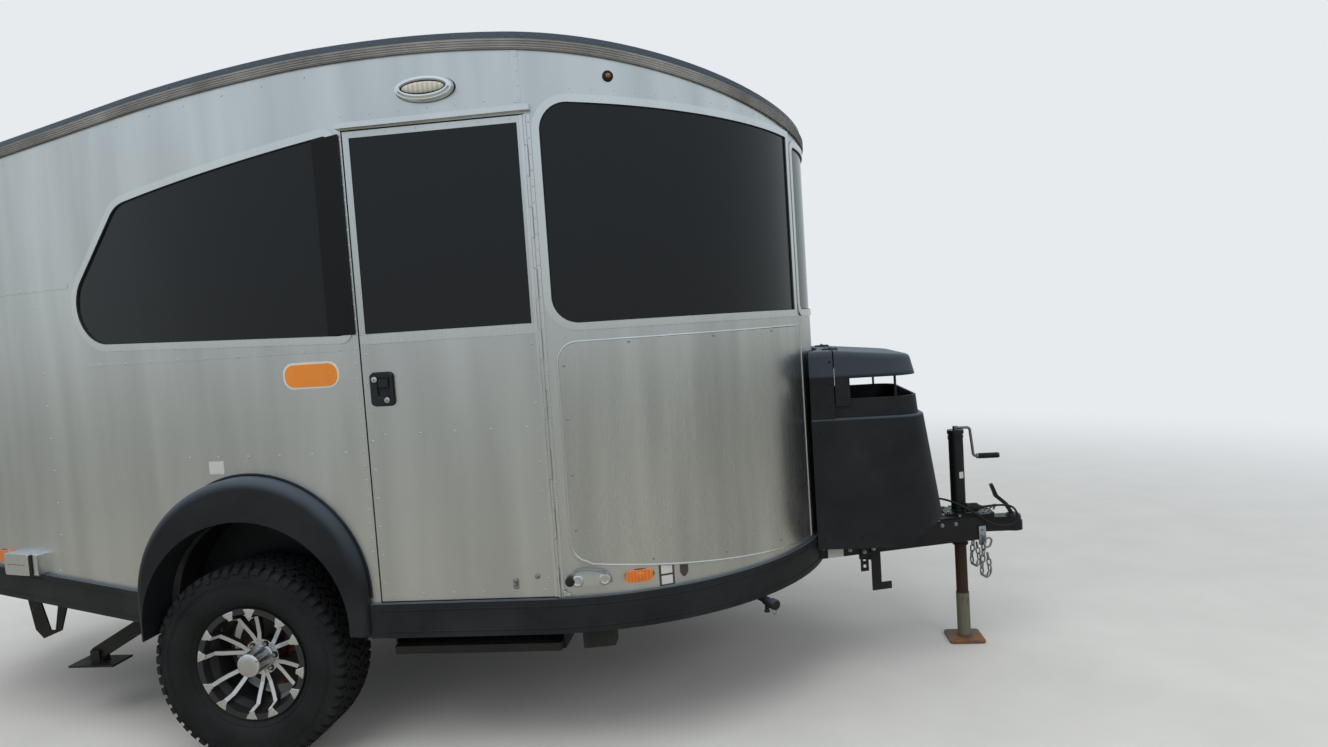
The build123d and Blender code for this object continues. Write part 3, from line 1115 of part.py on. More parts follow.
def make_stabilisers():
    """Folding legs behind the wheels, with a foot pinned to each and a bracket on the frame."""
    pin_hole = LEG_PIN_RADIUS + PIN_CLEARANCE
    foot_x = LEG_PIVOT_X - LEG_LENGTH * cos(radians(LEG_REST_ANGLE))
    foot_z = LEG_PIVOT_Z - LEG_LENGTH * sin(radians(LEG_REST_ANGLE))
    ear_y = LEG_WIDTH / 2 + SHUT_GAP
    span = 2 * (ear_y + EAR_THICKNESS)

    def pin(x, z, radius, length):
        return Pos(x, 0, z) * Rot(90, 0, 0) * Cylinder(radius, length)

    def ears(x_range, z_range):
        outer = box(x_range, (-ear_y - EAR_THICKNESS, ear_y + EAR_THICKNESS), z_range)
        return outer - box((-REACH, REACH), (-ear_y, ear_y), (z_range[0] - 1.0, z_range[1] + 1.0))

    leg = Pos(-LEG_LENGTH / 2, 0, 0) * Box(LEG_LENGTH + 44.0, LEG_WIDTH, LEG_DEPTH)
    leg = fillet(leg.edges().filter_by(Axis.Y), 21.0)
    leg = Pos(LEG_PIVOT_X, 0, LEG_PIVOT_Z) * Rot(0, -LEG_REST_ANGLE, 0) * leg
    leg -= pin(LEG_PIVOT_X, LEG_PIVOT_Z, pin_hole, 100.0) + pin(foot_x, foot_z, pin_hole, 100.0)
    pad_top = foot_z - LEG_DEPTH / 2 - 8.0
    foot = box((foot_x - PAD_LENGTH / 2, foot_x + PAD_LENGTH / 2), (-PAD_WIDTH / 2, PAD_WIDTH / 2),
               (pad_top - PAD_THICKNESS, pad_top))
    foot += ears((foot_x - 20.0, foot_x + 20.0), (pad_top - PAD_THICKNESS, foot_z + 16.0))
    foot += pin(foot_x, foot_z, LEG_PIN_RADIUS, span)
    rail_under = keel_z(LEG_PIVOT_X - 60.0, FRAME_RISE)
    bracket = ears((LEG_PIVOT_X - 45.0, LEG_PIVOT_X + 45.0), (LEG_PIVOT_Z - 22.0, rail_under + 30.0))
    bracket += box(
        (LEG_PIVOT_X - 45.0, LEG_PIVOT_X + 45.0),
        (-ear_y - EAR_THICKNESS, LEG_PIVOT_Y - RAIL_Y - TUBE_WIDTH / 2 - SEAT),
        (rail_under + 20.0, rail_under + 30.0),
    )
    bracket += pin(LEG_PIVOT_X, LEG_PIVOT_Z, LEG_PIN_RADIUS, span)
    for name, shape in (("leg", leg), ("foot", foot)):
        save("stabiliser_" + name + "_right", Pos(0, -LEG_PIVOT_Y, 0) * shape)
        save("stabiliser_" + name + "_left", mirror(Pos(0, -LEG_PIVOT_Y, 0) * shape, Plane.XZ))
    save("stabiliser_brackets", *both_sides(Pos(0, -LEG_PIVOT_Y, 0) * bracket))


def make_roof_gear():
    """Air conditioner and roof vent."""
    under_roof = side_block(roof_face(-SEAT))
    unit = square_block(
        AIR_UNIT_X, AIR_UNIT_HALF_LENGTH, AIR_UNIT_HALF_WIDTH,
        AIR_UNIT_TOP_Z - AIR_UNIT_DEPTH, AIR_UNIT_TOP_Z)
    unit = fillet(unit.edges().filter_by(Axis.Z), AIR_UNIT_CORNER)
    unit = chamfer(unit.faces().sort_by(Axis.Z)[-1].edges(), AIR_UNIT_SHOULDER)
    save("air_conditioner", unit - under_roof)
    half, cap_half, hole_half = VENT_HALF, VENT_HALF + VENT_OVERHANG, VENT_HALF - VENT_WALL
    vent_top_z = back_roof_z(VENT_X) + VENT_RISE
    base = square_block(VENT_X, half, half, vent_top_z - VENT_DEPTH, vent_top_z)
    base = fillet(base.edges().filter_by(Axis.Z), 20.0)
    base -= square_block(VENT_X, hole_half, hole_half, vent_top_z - VENT_DEPTH, vent_top_z + 1.0)
    base -= under_roof
    lid = square_block(VENT_X, cap_half, cap_half, vent_top_z + SEAT, vent_top_z + VENT_LID_TOP)
    lid = fillet(lid.edges().filter_by(Axis.Z), 30.0)
    lid = chamfer(lid.faces().sort_by(Axis.Z)[-1].edges(), 20.0)
    axis_x, axis_z = VENT_X + VENT_HALF + VENT_HINGE_SETBACK, vent_top_z - VENT_HINGE_DROP
    for y in (-VENT_HINGE_Y, VENT_HINGE_Y):
        base += cross_pin(axis_x, y, axis_z, VENT_HINGE_RADIUS, 24.0)
        base += box((VENT_X + half - 5.0, axis_x), (y - 12.0, y + 12.0), (axis_z - 4.5, axis_z + 4.0))
        for side in (-1, 1):
            middle = y + side * (12.0 + PIVOT_GAP + 7.0)
            lid += cross_pin(axis_x, middle, axis_z, VENT_HINGE_RADIUS, 14.0)
            lid += box(
                (axis_x - 3.0, axis_x + 4.0), (middle - 7.0, middle + 7.0), (axis_z, vent_top_z + 4.0))
    save("roof_vent_base", base)
    save("roof_vent_lid", lid)


def make_lamps():
    """Lamps on the skin, each following its curve."""
    side = Plane.XZ
    markers = []
    for x, z, width, height in MARKERS:
        block = extrude(side * (Pos(x, z) * SlotOverall(width, height)), REACH)
        markers += both_sides(skin(-MARKER_PROUD, -SEAT) & block)
    save("marker_lamps", *markers)
    oval = Ellipse(PORCH_LAMP_LENGTH / 2, PORCH_LAMP_HEIGHT / 2)
    porch = extrude(side * (Pos(PORCH_LAMP_X, PORCH_LAMP_Z) * oval), REACH)
    save("porch_lamp", skin(-PORCH_LAMP_PROUD, -SEAT) & porch)
    slot = SlotOverall(TAIL_LAMP_HEIGHT, TAIL_LAMP_WIDTH, rotation=90)
    tail = extrude(side * (Pos(TAIL_LAMP_X, TAIL_LAMP_Z) * slot), REACH)
    save("tail_lamps", *both_sides(skin(-TAIL_LAMP_PROUD, -SEAT) & tail))


def write_steps():
    os.makedirs("parts", exist_ok=True)
    middle = (COUPLER_TIP_X + TAIL_X - RAIL_DEPTH) / 2
    for name, piece in pieces.items():
        export_step(Pos(-middle, 0, 0) * piece, "parts/" + name + ".step")


make_body()
make_trims()
make_windows()
make_flares()
make_chassis()
make_tongue()
make_cover()
make_underbody()
make_chains()
make_wheels()
make_axle()
make_door()
make_hatch()
make_step()
make_stabilisers()
make_roof_gear()
make_lamps()
write_steps()
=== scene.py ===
import math

import bmesh
import bpy
from bpy.props import FloatProperty, FloatVectorProperty, IntProperty, PointerProperty
from bpy.types import Operator, Panel, PropertyGroup
from mathutils import Matrix, Vector


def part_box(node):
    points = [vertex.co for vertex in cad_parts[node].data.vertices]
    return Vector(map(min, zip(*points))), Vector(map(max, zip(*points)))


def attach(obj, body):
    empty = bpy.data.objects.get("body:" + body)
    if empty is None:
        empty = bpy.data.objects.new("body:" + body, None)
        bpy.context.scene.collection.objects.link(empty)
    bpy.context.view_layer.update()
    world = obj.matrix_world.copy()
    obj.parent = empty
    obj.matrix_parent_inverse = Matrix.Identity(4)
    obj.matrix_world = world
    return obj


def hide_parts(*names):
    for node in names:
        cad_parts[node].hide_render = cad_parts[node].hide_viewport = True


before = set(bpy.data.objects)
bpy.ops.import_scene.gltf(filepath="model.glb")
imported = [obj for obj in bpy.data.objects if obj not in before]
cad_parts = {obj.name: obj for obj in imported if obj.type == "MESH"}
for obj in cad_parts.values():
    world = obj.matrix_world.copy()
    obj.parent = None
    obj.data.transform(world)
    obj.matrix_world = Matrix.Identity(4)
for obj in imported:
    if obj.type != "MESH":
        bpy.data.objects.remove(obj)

bl_info = {
    "name": "Travel caravan",
    "version": (1, 0, 0),
    "blender": (4, 5, 0),
    "location": "3D View > Sidebar > Caravan",
    "description": "Finishes and small fittings for a teardrop travel caravan",
    "category": "Object",
}

# Lengths are metres. X runs forward, Y to the left and Z up, from under the middle of the caravan.
AXLE_X = -0.5115             # the wheels' axis
HALF_WIDTH = 1.015           # outer skin to the centre line
NOSE_AHEAD = 1.090           # from the wheels' axis to the centre of the half-round nose
NOSE_X = NOSE_AHEAD + AXLE_X
TAPER_X = 0.450 + AXLE_X     # the sides draw in behind here
TAPER_RADIUS = 3.2
TAPER_ANGLE = math.radians(15)
TAIL_X = -1.935 + AXLE_X
TAIL_BOW = 1.4
TAIL_CORNER = 0.2
KEEL_Z = 0.45
SWEEP_X = -0.15 + AXLE_X
SWEEP_SLOPE = 0.078
RAIL_HEIGHT = 0.12
ROOF_TOP = 2.486
ROOF_PEAK_X = 0.72 + AXLE_X
ROOF_FRONT_RADIUS = 4.058
ROOF_BACK_RADIUS = 5.058
ROOF_BACK_ANGLE = math.radians(4.8)
ROOF_ROLL = 0.52
ROOF_EDGE = 0.058
WHEEL_Y = 0.918
WHEEL_Z = 0.36
TYRE_RADIUS = 0.36
SPOKE_PHASE = 98.0           # degrees to the middle of the first pair of spokes
JACK_SLEEVE_TOP = 0.208
COVER_SHEEN_Z = 1.216         # painted bluish sky sheen on the gas cover above here

# Places of seams and fittings, with X measured from the wheels' axis
LAP_Z = 1.77                 # lap seam round the back
SILL_SEAM_Z = 1.462          # lap seam under the rear window
LAP_LIFT = 0.0014            # thickness of the laps, on which their rivets stand
SILL_LIFT = 0.0012
HINGE_SEAM_X = 1.13
LEFT_SEAMS = (-0.62, 0.62)
TAIL_SEAMS = (-0.42, 0.42)
ARCH_X, ARCH_Z, ARCH_RADIUS = 0.045, 0.607, 0.434
WINDOW_SEAT = -0.003         # gaskets start this far inside the skin
NOSE_SILL_Z = 1.500
NOSE_HEAD_SLOPE = 0.075      # the nose windows' tops fall forward
HATCH_GLASS_Z = (1.180 + 1.570) / 2
HOLDER_Z = 0.6275
PORCH_LAMP = (0.822, 2.308)
FRONT_MARKER = (1.421, 0.624)
REAR_MARKER = (-1.275, 0.705)
REAR_LAMP_X = -1.660
BADGE = (0.3275, 1.380)
LABEL_X = 1.5105
JACK_X = 2.708
CABLE_DIAMETER = 0.009
CABLE_POINT_RADIUS = 0.02    # scales the thickness at each point, small to keep the curve's box close
CABLE_POINTS = (
    (2.562, -0.060, 0.648), (2.622, -0.060, 0.648), (2.730, -0.086, 0.600), (2.840, -0.084, 0.512),
    (2.938, -0.082, 0.528), (2.926, -0.074, 0.602), (2.850, -0.060, 0.606), (2.788, -0.052, 0.596),
)
CHAIN_POINTS = (             # from where a safety chain hangs, with Y away from the middle
    (0.000, 0.006, -0.024), (-0.004, 0.008, -0.060), (-0.010, 0.006, -0.100), (-0.006, 0.004, -0.132),
    (0.010, 0.004, -0.140), (0.022, 0.008, -0.118), (0.020, 0.010, -0.080), (0.016, 0.010, -0.044),
    (0.020, 0.008, -0.014),
)

UP = Vector((0.0, 0.0, 1.0))
AHEAD = Vector((1.0, 0.0, 0.0))
SIDES = (-1, 1)              # right, left
CORNERS = ((-1, -1), (1, -1), (1, 1), (-1, 1))
BACKDROP = (0.80, 0.83, 0.86)


# Sizes and colours that a user would change

def size(name, description, default):
    return FloatProperty(name=name, description=description, default=default, unit="LENGTH",
                         subtype="DISTANCE")


def colour(name, description, default):
    return FloatVectorProperty(name=name, description=description, default=default, subtype="COLOR", size=3,
                               min=0.0, max=1.0)


class CaravanSizes(PropertyGroup):
    rivet: size("Rivet", "Diameter of a rivet head", 0.0085)
    tread_depth: size("Tread depth", "Depth of the tyre's grooves", 0.010)
    tread_blocks: IntProperty(name="Tread blocks", description="Blocks round the tyre in each row",
                              default=56, min=20, max=90)
    chain_wire: size("Chain wire", "Thickness of the safety chains' wire", 0.007)


class CaravanColours(PropertyGroup):
    skin: colour("Skin", "Rolled aluminium of the walls", (0.66, 0.66, 0.645))
    guard: colour("Guards", "Bright stone guards", (0.64, 0.64, 0.625))
    bright: colour("Bright trim", "Window frames, drip cap and hinges", (0.72, 0.72, 0.71))
    roof: colour("Roof", "Painted roof", (0.050, 0.066, 0.092))
    roof_trim: colour("Roof trim", "Grooved rubber along the roof edge", (0.150, 0.150, 0.146))
    glass: colour("Glass", "Tinted glass", (0.005, 0.006, 0.009))
    plastic: colour("Plastic", "Textured plastic of cover, flares and rails", (0.0080, 0.0092, 0.0115))
    chassis: colour("Chassis", "Chassis paint", (0.009, 0.009, 0.010))
    rust: colour("Rust", "Rust on the jack", (0.16, 0.052, 0.022))
    tyre: colour("Tyre", "Tyre rubber", (0.0085, 0.0090, 0.0100))
    amber: colour("Amber lens", "Side marker lamps", (0.85, 0.22, 0.02))
    red: colour("Red lens", "Rear lamps", (0.55, 0.012, 0.012))
    badge: colour("Badge", "Plain lozenge beside the door", (0.84, 0.27, 0.030))


class CaravanStage(PropertyGroup):
    lens: FloatProperty(name="Lens", description="Focal length in millimetres", default=22.48)
    lamp_power: FloatProperty(name="Lamp power", description="Power of the overhead softbox", default=260.0)
    daylight: FloatProperty(name="Daylight", description="Strength of the even light from all round",
                            default=0.62)


# Shader nodes

class Graph:
    """The nodes of one material or group, with short calls to add and join them."""

    def __init__(self, tree):
        self.tree = tree
        tree.nodes.clear()

    def set(self, socket, value):
        if isinstance(value, bpy.types.NodeSocket):
            self.tree.links.new(value, socket)
        else:
            socket.default_value = (*value, 1.0)[:4] if socket.type == "RGBA" else value

    def fill(self, node, **sockets):
        """Sets or joins a node's inputs, with an underscore for each space in their names."""
        for name, value in sockets.items():
            self.set(node.inputs[name.replace("_", " ")], value)
        return node

    def add(self, kind, settings=None, **sockets):
        node = self.tree.nodes.new(kind)
        for name, value in (settings or {}).items():
            setattr(node, name, value)
        return self.fill(node, **sockets)

    def use(self, group, **sockets):
        """Outputs of a node group placed here."""
        return self.add("ShaderNodeGroup", {"node_tree": group}, **sockets).outputs

    def object_space(self):
        return self.add("ShaderNodeTexCoord").outputs["Object"]

    def axis(self, name, vector=None):
        """X, Y or Z of a vector, or of the place on the object."""
        return self.add("ShaderNodeSeparateXYZ", Vector=vector or self.object_space()).outputs[name]

    def math(self, operation, first, second=0.0, clamp=False):
        node = self.add("ShaderNodeMath", {"operation": operation, "use_clamp": clamp})
        self.set(node.inputs[0], first)
        self.set(node.inputs[1], second)
        return node.outputs[0]

    def stretched(self, scale):
        return self.add("ShaderNodeMapping", Vector=self.object_space(), Scale=scale).outputs[0]

    def noise(self, scale, detail=2.0, roughness=0.5, vector=None):
        return self.add("ShaderNodeTexNoise", Vector=vector or self.object_space(), Scale=scale,
                        Detail=detail, Roughness=roughness).outputs["Fac"]

    def spread(self, value, low, high, to_low=0.0, to_high=1.0):
        return self.add("ShaderNodeMapRange", Value=value, From_Min=low, From_Max=high, To_Min=to_low,
                        To_Max=to_high).outputs[0]

    def wander(self, low, high, scale, detail=2.0, roughness=0.5):
        """A value that wanders between low and high."""
        return self.spread(self.noise(scale, detail, roughness), 0.3, 0.7, low, high)

    def mix(self, factor, first, second):
        node = self.add("ShaderNodeMix", {"data_type": "RGBA"})
        for index, value in ((0, factor), (6, first), (7, second)):
            self.set(node.inputs[index], value)
        return node.outputs[2]

    def bump(self, height, strength, distance, **sockets):
        return self.add("ShaderNodeBump", Height=height, Strength=strength, Distance=distance,
                        **sockets).outputs[0]


def effect(name, inputs, outputs, build):
    """A node group used by several materials. build gets the graph and the group's input sockets."""
    if name in bpy.data.node_groups:
        return bpy.data.node_groups[name]
    group = bpy.data.node_groups.new(name, "ShaderNodeTree")
    for label, default in inputs.items():
        socket = group.interface.new_socket(label, in_out="INPUT", socket_type="NodeSocketFloat")
        socket.default_value = default
    for label in outputs:
        group.interface.new_socket(label, in_out="OUTPUT", socket_type="NodeSocketFloat")
    graph = Graph(group)
    given = graph.add("NodeGroupInput").outputs
    end = graph.add("NodeGroupOutput")
    for label, result in zip(outputs, build(graph, given)):
        graph.set(end.inputs[label], result)
    return group


def upright_streaks():
    """Fine upright streaks of rolled sheet, and broad soft bands."""
    def build(graph, given):
        fine = graph.noise(given["Scale"], 3.0, 0.6, graph.stretched((1.0, 1.0, 0.012)))
        bands = graph.noise(given["Band scale"], 2.0, 0.5, graph.stretched((1.0, 1.0, 0.10)))
        return fine, bands
    return effect("Upright streaks", {"Scale": 260.0, "Band scale": 6.0}, ("Fine", "Bands"), build)


def road_dust():
    """Dust that thickens towards the ground, broken up by noise."""
    def build(graph, given):
        span = graph.math("SUBTRACT", given["Top"], graph.axis("Z"))
        depth = graph.math("DIVIDE", span, given["Fade"], clamp=True)
        cloud = graph.spread(graph.noise(9.0, 5.0, 0.65), 0.30, 0.72)
        return [graph.math("MULTIPLY", graph.math("MULTIPLY", depth, cloud), given["Amount"], clamp=True)]
    return effect("Road dust", {"Top": 0.8, "Fade": 0.6, "Amount": 0.5}, ("Mask",), build)


def pebble_grain():
    """Pebbled grain of moulded plastic or rubber."""
    def build(graph, given):
        cells = graph.add("ShaderNodeTexVoronoi", {"feature": "SMOOTH_F1"}, Vector=graph.object_space(),
                          Scale=given["Scale"]).outputs["Distance"]
        fine = graph.noise(given["Scale"], 3.0)
        return graph.math("ADD", cells, graph.math("MULTIPLY", fine, 0.6)), fine
    return effect("Pebble grain", {"Scale": 600.0}, ("Height", "Fleck"), build)


def worn_patches():
    """Ragged patches where paint is chipped or metal has rusted."""
    def build(graph, given):
        edge = graph.math("SUBTRACT", graph.noise(given["Scale"], 8.0, 0.7), given["Level"])
        return [graph.math("MULTIPLY", edge, 14.0, clamp=True)]
    return effect("Worn patches", {"Scale": 14.0, "Level": 0.6}, ("Mask",), build)


def sheet_waves():
    """Slow dents and waves of thin sheet between its rivets."""
    def build(graph, given):
        return [graph.noise(given["Scale"], 1.0, 0.4, graph.stretched((1.0, 1.0, 0.35)))]
    return effect("Sheet waves", {"Scale": 3.0}, ("Height",), build)


def dusted(graph, tone, top, fade, amount, pale):
    """A tone under road dust, and the dust's mask."""
    grit = graph.use(road_dust(), Top=top, Fade=fade, Amount=amount)["Mask"]
    return graph.mix(grit, tone, pale), grit


def worn(graph, scale, level):
    return graph.use(worn_patches(), Scale=scale, Level=level)["Mask"]


# Finishes

finishes = {}


def finish(name, build):
    """A material made once. build gets the graph and gives the inputs of the Principled shader."""
    if name not in finishes:
        material = bpy.data.materials.new(name)
        material.use_nodes = True
        graph = Graph(material.node_tree)
        shader = graph.add("ShaderNodeBsdfPrincipled")
        graph.add("ShaderNodeOutputMaterial", Surface=shader.outputs[0])
        graph.fill(shader, **build(graph))
        finishes[name] = material
    return finishes[name]


def palette():
    return bpy.context.scene.caravan_colours


def sheet_metal(name, base, roughness, wave, streak, band=0.10, dust=0.22):
    def build(graph):
        streaks = graph.use(upright_streaks(), Scale=260.0, Band_scale=7.0)
        dark, light = [tuple(min(1.0, c * (1 + shift)) for c in base) for shift in (-band, band)]
        tone = graph.mix(graph.spread(streaks["Bands"], 0.3, 0.7), dark, light)
        tone, grit = dusted(graph, tone, 0.95, 0.55, dust, (0.42, 0.38, 0.31))
        blur = graph.spread(streaks["Fine"], 0.3, 0.7, roughness - streak, roughness + streak)
        waves = graph.use(sheet_waves(), Scale=2.6)["Height"]
        rough = graph.bump(streaks["Fine"], 0.06, 0.0008)
        return dict(
            Base_Color=tone,
            Metallic=graph.spread(grit, 0.0, 1.0, 1.0, 0.45),
            Roughness=graph.math("ADD", blur, graph.math("MULTIPLY", grit, 0.35)),
            Normal=graph.bump(waves, wave, 0.02, Normal=rough),
        )
    return finish(name, build)


def skin_sheet():
    return sheet_metal("rolled aluminium", palette().skin, 0.34, 0.10, 0.045)


def guard_sheet():
    return sheet_metal("bright guard sheet", palette().guard, 0.26, 0.22, 0.025, band=0.16, dust=0.20)


def bright_metal():
    return sheet_metal("bright trim", palette().bright, 0.28, 0.0, 0.05, band=0.04, dust=0.15)


def tinted_glass():
    def build(graph):
        smear = graph.noise(2.2, 3.0, 0.6, graph.stretched((1.0, 1.0, 0.45)))
        return dict(
            Base_Color=palette().glass,
            Transmission_Weight=0.35,
            IOR=1.50,
            Specular_IOR_Level=0.30,
            Roughness=graph.spread(smear, 0.35, 0.75, 0.015, 0.06),
            Normal=graph.bump(graph.noise(1.6, 1.0), 0.05, 0.01),
        )
    return finish("tinted glass", build)


def moulded(name, base, grain, roughness, dust=0.35, pale=(0.24, 0.22, 0.19), shine=0.25, sky_sheen=0.0,
            sheen_above=None):
    """Grained plastic or rubber, with an optional painted sky sheen: bluish, on what faces up and above a
    height.
    """
    def build(graph):
        pebbles = graph.use(pebble_grain(), Scale=grain)
        worn_tone = tuple(min(1.0, c * 1.9 + 0.004) for c in base)
        tone = graph.mix(graph.spread(graph.noise(4.0, 4.0, 0.6), 0.35, 0.70), base, worn_tone)
        # Painted sky reflection: a bluish sheen, stronger the more a face points up.
        if sky_sheen:
            upward = graph.axis("Z", graph.add("ShaderNodeNewGeometry").outputs["Normal"])
            cover = graph.spread(upward, 0.05, 0.95, 0.0, sky_sheen)
            # The same painted sky reflection, weaker, over all of it above the given height.
            if sheen_above:
                fade = graph.spread(graph.axis("Z"), sheen_above, sheen_above + 0.010, 0.0, 0.60 * sky_sheen)
                cover = graph.math("MAXIMUM", cover, fade)
            tone = graph.mix(cover, tone, (0.085, 0.108, 0.140))
        return dict(
            Base_Color=dusted(graph, tone, 0.85, 0.8, dust, pale)[0],
            Specular_IOR_Level=shine,
            Roughness=graph.spread(pebbles["Fleck"], 0.3, 0.7, roughness - 0.06, roughness + 0.06),
            Normal=graph.bump(pebbles["Height"], 0.22, 0.0006),
        )
    return finish(name, build)


def black_plastic():
    # Painted bluish sky sheen on its up-facing faces.
    return moulded("textured black plastic", palette().plastic, 900.0, 0.46, dust=0.07, sky_sheen=0.75)


def cover_plastic():
    # Painted bluish sky sheen on its up-facing faces, and on the whole gas cover above a height.
    return moulded("gas cover plastic with painted sheen", palette().plastic, 900.0, 0.46, dust=0.07, sky_sheen=0.75,
                   sheen_above=COVER_SHEEN_Z)


def tyre_rubber():
    return moulded("tyre rubber", palette().tyre, 420.0, 0.78, dust=0.10, pale=(0.10, 0.092, 0.082),
                   shine=0.18)


def trim_rubber():
    return moulded("roof edge rubber", palette().roof_trim, 500.0, 0.62, dust=0.0)


def rib_rubber_highlit():
    # The ribs are the trim's own rubber painted 1.35 times lighter: a painted highlight on the ribs.
    return moulded("roof edge ribs with painted highlight", tuple(c * 1.35 for c in palette().roof_trim), 500.0, 0.60, dust=0.0)


def seal_rubber():
    return moulded("black rubber", (0.008, 0.008, 0.009), 700.0, 0.60, dust=0.05)


def chassis_paint():
    def build(graph):
        tone = graph.mix(worn(graph, 26.0, 0.645), palette().chassis, palette().rust)
        return dict(
            Base_Color=dusted(graph, tone, 0.75, 0.6, 0.20, (0.10, 0.090, 0.075))[0],
            Specular_IOR_Level=0.30,
            Roughness=graph.wander(0.34, 0.55, 40.0, 4.0),
            Normal=graph.bump(graph.noise(180.0, 3.0), 0.15, 0.0006),
        )
    return finish("chassis paint", build)


def rusty_paint(name, level, under=None):
    def build(graph):
        rust = worn(graph, 9.0, level)
        speck = graph.spread(graph.noise(90.0, 6.0, 0.7), 0.35, 0.65)
        brown = graph.mix(speck, palette().rust, (0.30, 0.11, 0.035))
        return dict(
            Base_Color=graph.mix(rust, under or palette().chassis, brown),
            Roughness=graph.spread(rust, 0.0, 1.0, 0.42, 0.88),
            Metallic=graph.spread(rust, 0.0, 1.0, 0.25, 0.0),
            Normal=graph.bump(graph.noise(260.0, 5.0, 0.7), 0.35, 0.0008),
        )
    return finish(name, build)


def painted(name, base, roughness=0.35, coat=0.2, dust=0.2):
    def build(graph):
        grime = graph.spread(graph.noise(5.0, 5.0, 0.65), 0.40, 0.75)
        tone = graph.mix(grime, base, tuple(c * 0.88 for c in base))
        return dict(
            Base_Color=dusted(graph, tone, 0.9, 0.7, dust, (0.30, 0.27, 0.22))[0],
            Roughness=graph.wander(roughness - 0.05, roughness + 0.08, 30.0, 4.0),
            Coat_Weight=coat,
            Normal=graph.bump(graph.noise(120.0, 3.0), 0.06, 0.0004),
        )
    return finish(name, build)


def white_moulding():
    return painted("white moulding", (0.74, 0.75, 0.75), 0.4, 0.15)


def label_white():
    return painted("label white", (0.66, 0.67, 0.66), 0.5, 0.0, 0.1)


def raw_metal(name, base, roughness, dirt=0.15):
    def build(graph):
        stain = graph.spread(graph.noise(18.0, 6.0, 0.7), 0.45, 0.80)
        return dict(
            Base_Color=graph.mix(graph.math("MULTIPLY", stain, dirt), base, (0.10, 0.08, 0.06)),
            Metallic=1.0,
            Roughness=graph.wander(roughness - 0.06, roughness + 0.10, 60.0, 4.0),
            Normal=graph.bump(graph.noise(200.0, 3.0), 0.10, 0.0004),
        )
    return finish(name, build)


def chrome():
    return raw_metal("bright chrome", (0.78, 0.78, 0.78), 0.14, 0.10)


def machined_face():
    return raw_metal("machined alloy", (0.74, 0.74, 0.74), 0.24, 0.05)


def dull_zinc():
    return raw_metal("dull zinc", (0.36, 0.36, 0.37), 0.38, 0.35)


def screw_steel():
    return raw_metal("screw steel", (0.42, 0.42, 0.42), 0.30)


def catch_steel():
    return raw_metal("catch steel", (0.34, 0.34, 0.34), 0.35)


def lens(name, base, ribs=90.0):
    def build(graph):
        wave = graph.math("SINE", graph.math("MULTIPLY", graph.axis("X"), ribs * 2 * math.pi))
        return dict(
            Base_Color=graph.mix(graph.spread(wave, -1.0, 1.0), tuple(c * 0.75 for c in base), base),
            Roughness=graph.wander(0.10, 0.2, 40.0),
            Coat_Weight=0.6,
            Normal=graph.bump(wave, 0.25, 0.0006),
        )
    return finish(name, build)


def amber_lens():
    return lens("amber lens", palette().amber)


def red_lens():
    return lens("red lens", palette().red)


def jack_leg_paint():
    """Dark brown steel above, a pale worn sleeve below it and a rusty foot."""
    def build(graph):
        z = graph.axis("Z")
        speck = graph.spread(graph.noise(90.0, 6.0, 0.7), 0.35, 0.65)
        brown = graph.mix(speck, (0.030, 0.018, 0.013), (0.058, 0.030, 0.019))
        chips = graph.math("MULTIPLY", worn(graph, 15.0, 0.56), 0.75)
        pale = graph.mix(chips, (0.165, 0.160, 0.115), (0.105, 0.062, 0.034))
        above = graph.spread(z, JACK_SLEEVE_TOP - 0.002, JACK_SLEEVE_TOP + 0.001)
        foot = graph.mix(worn(graph, 7.0, 0.50), (0.135, 0.098, 0.078), (0.34, 0.125, 0.030))
        foot = graph.mix(graph.math("MULTIPLY", speck, 0.5), foot, (0.10, 0.06, 0.04))
        on_foot = graph.spread(z, 0.018, 0.024, 1.0, 0.0)
        return dict(
            Base_Color=graph.mix(on_foot, graph.mix(above, pale, brown), foot),
            Roughness=graph.spread(speck, 0.0, 1.0, 0.55, 0.85),
            Specular_IOR_Level=0.35,
            Normal=graph.bump(graph.noise(260.0, 5.0, 0.7), 0.35, 0.0008),
        )
    return finish("jack leg steel", build)


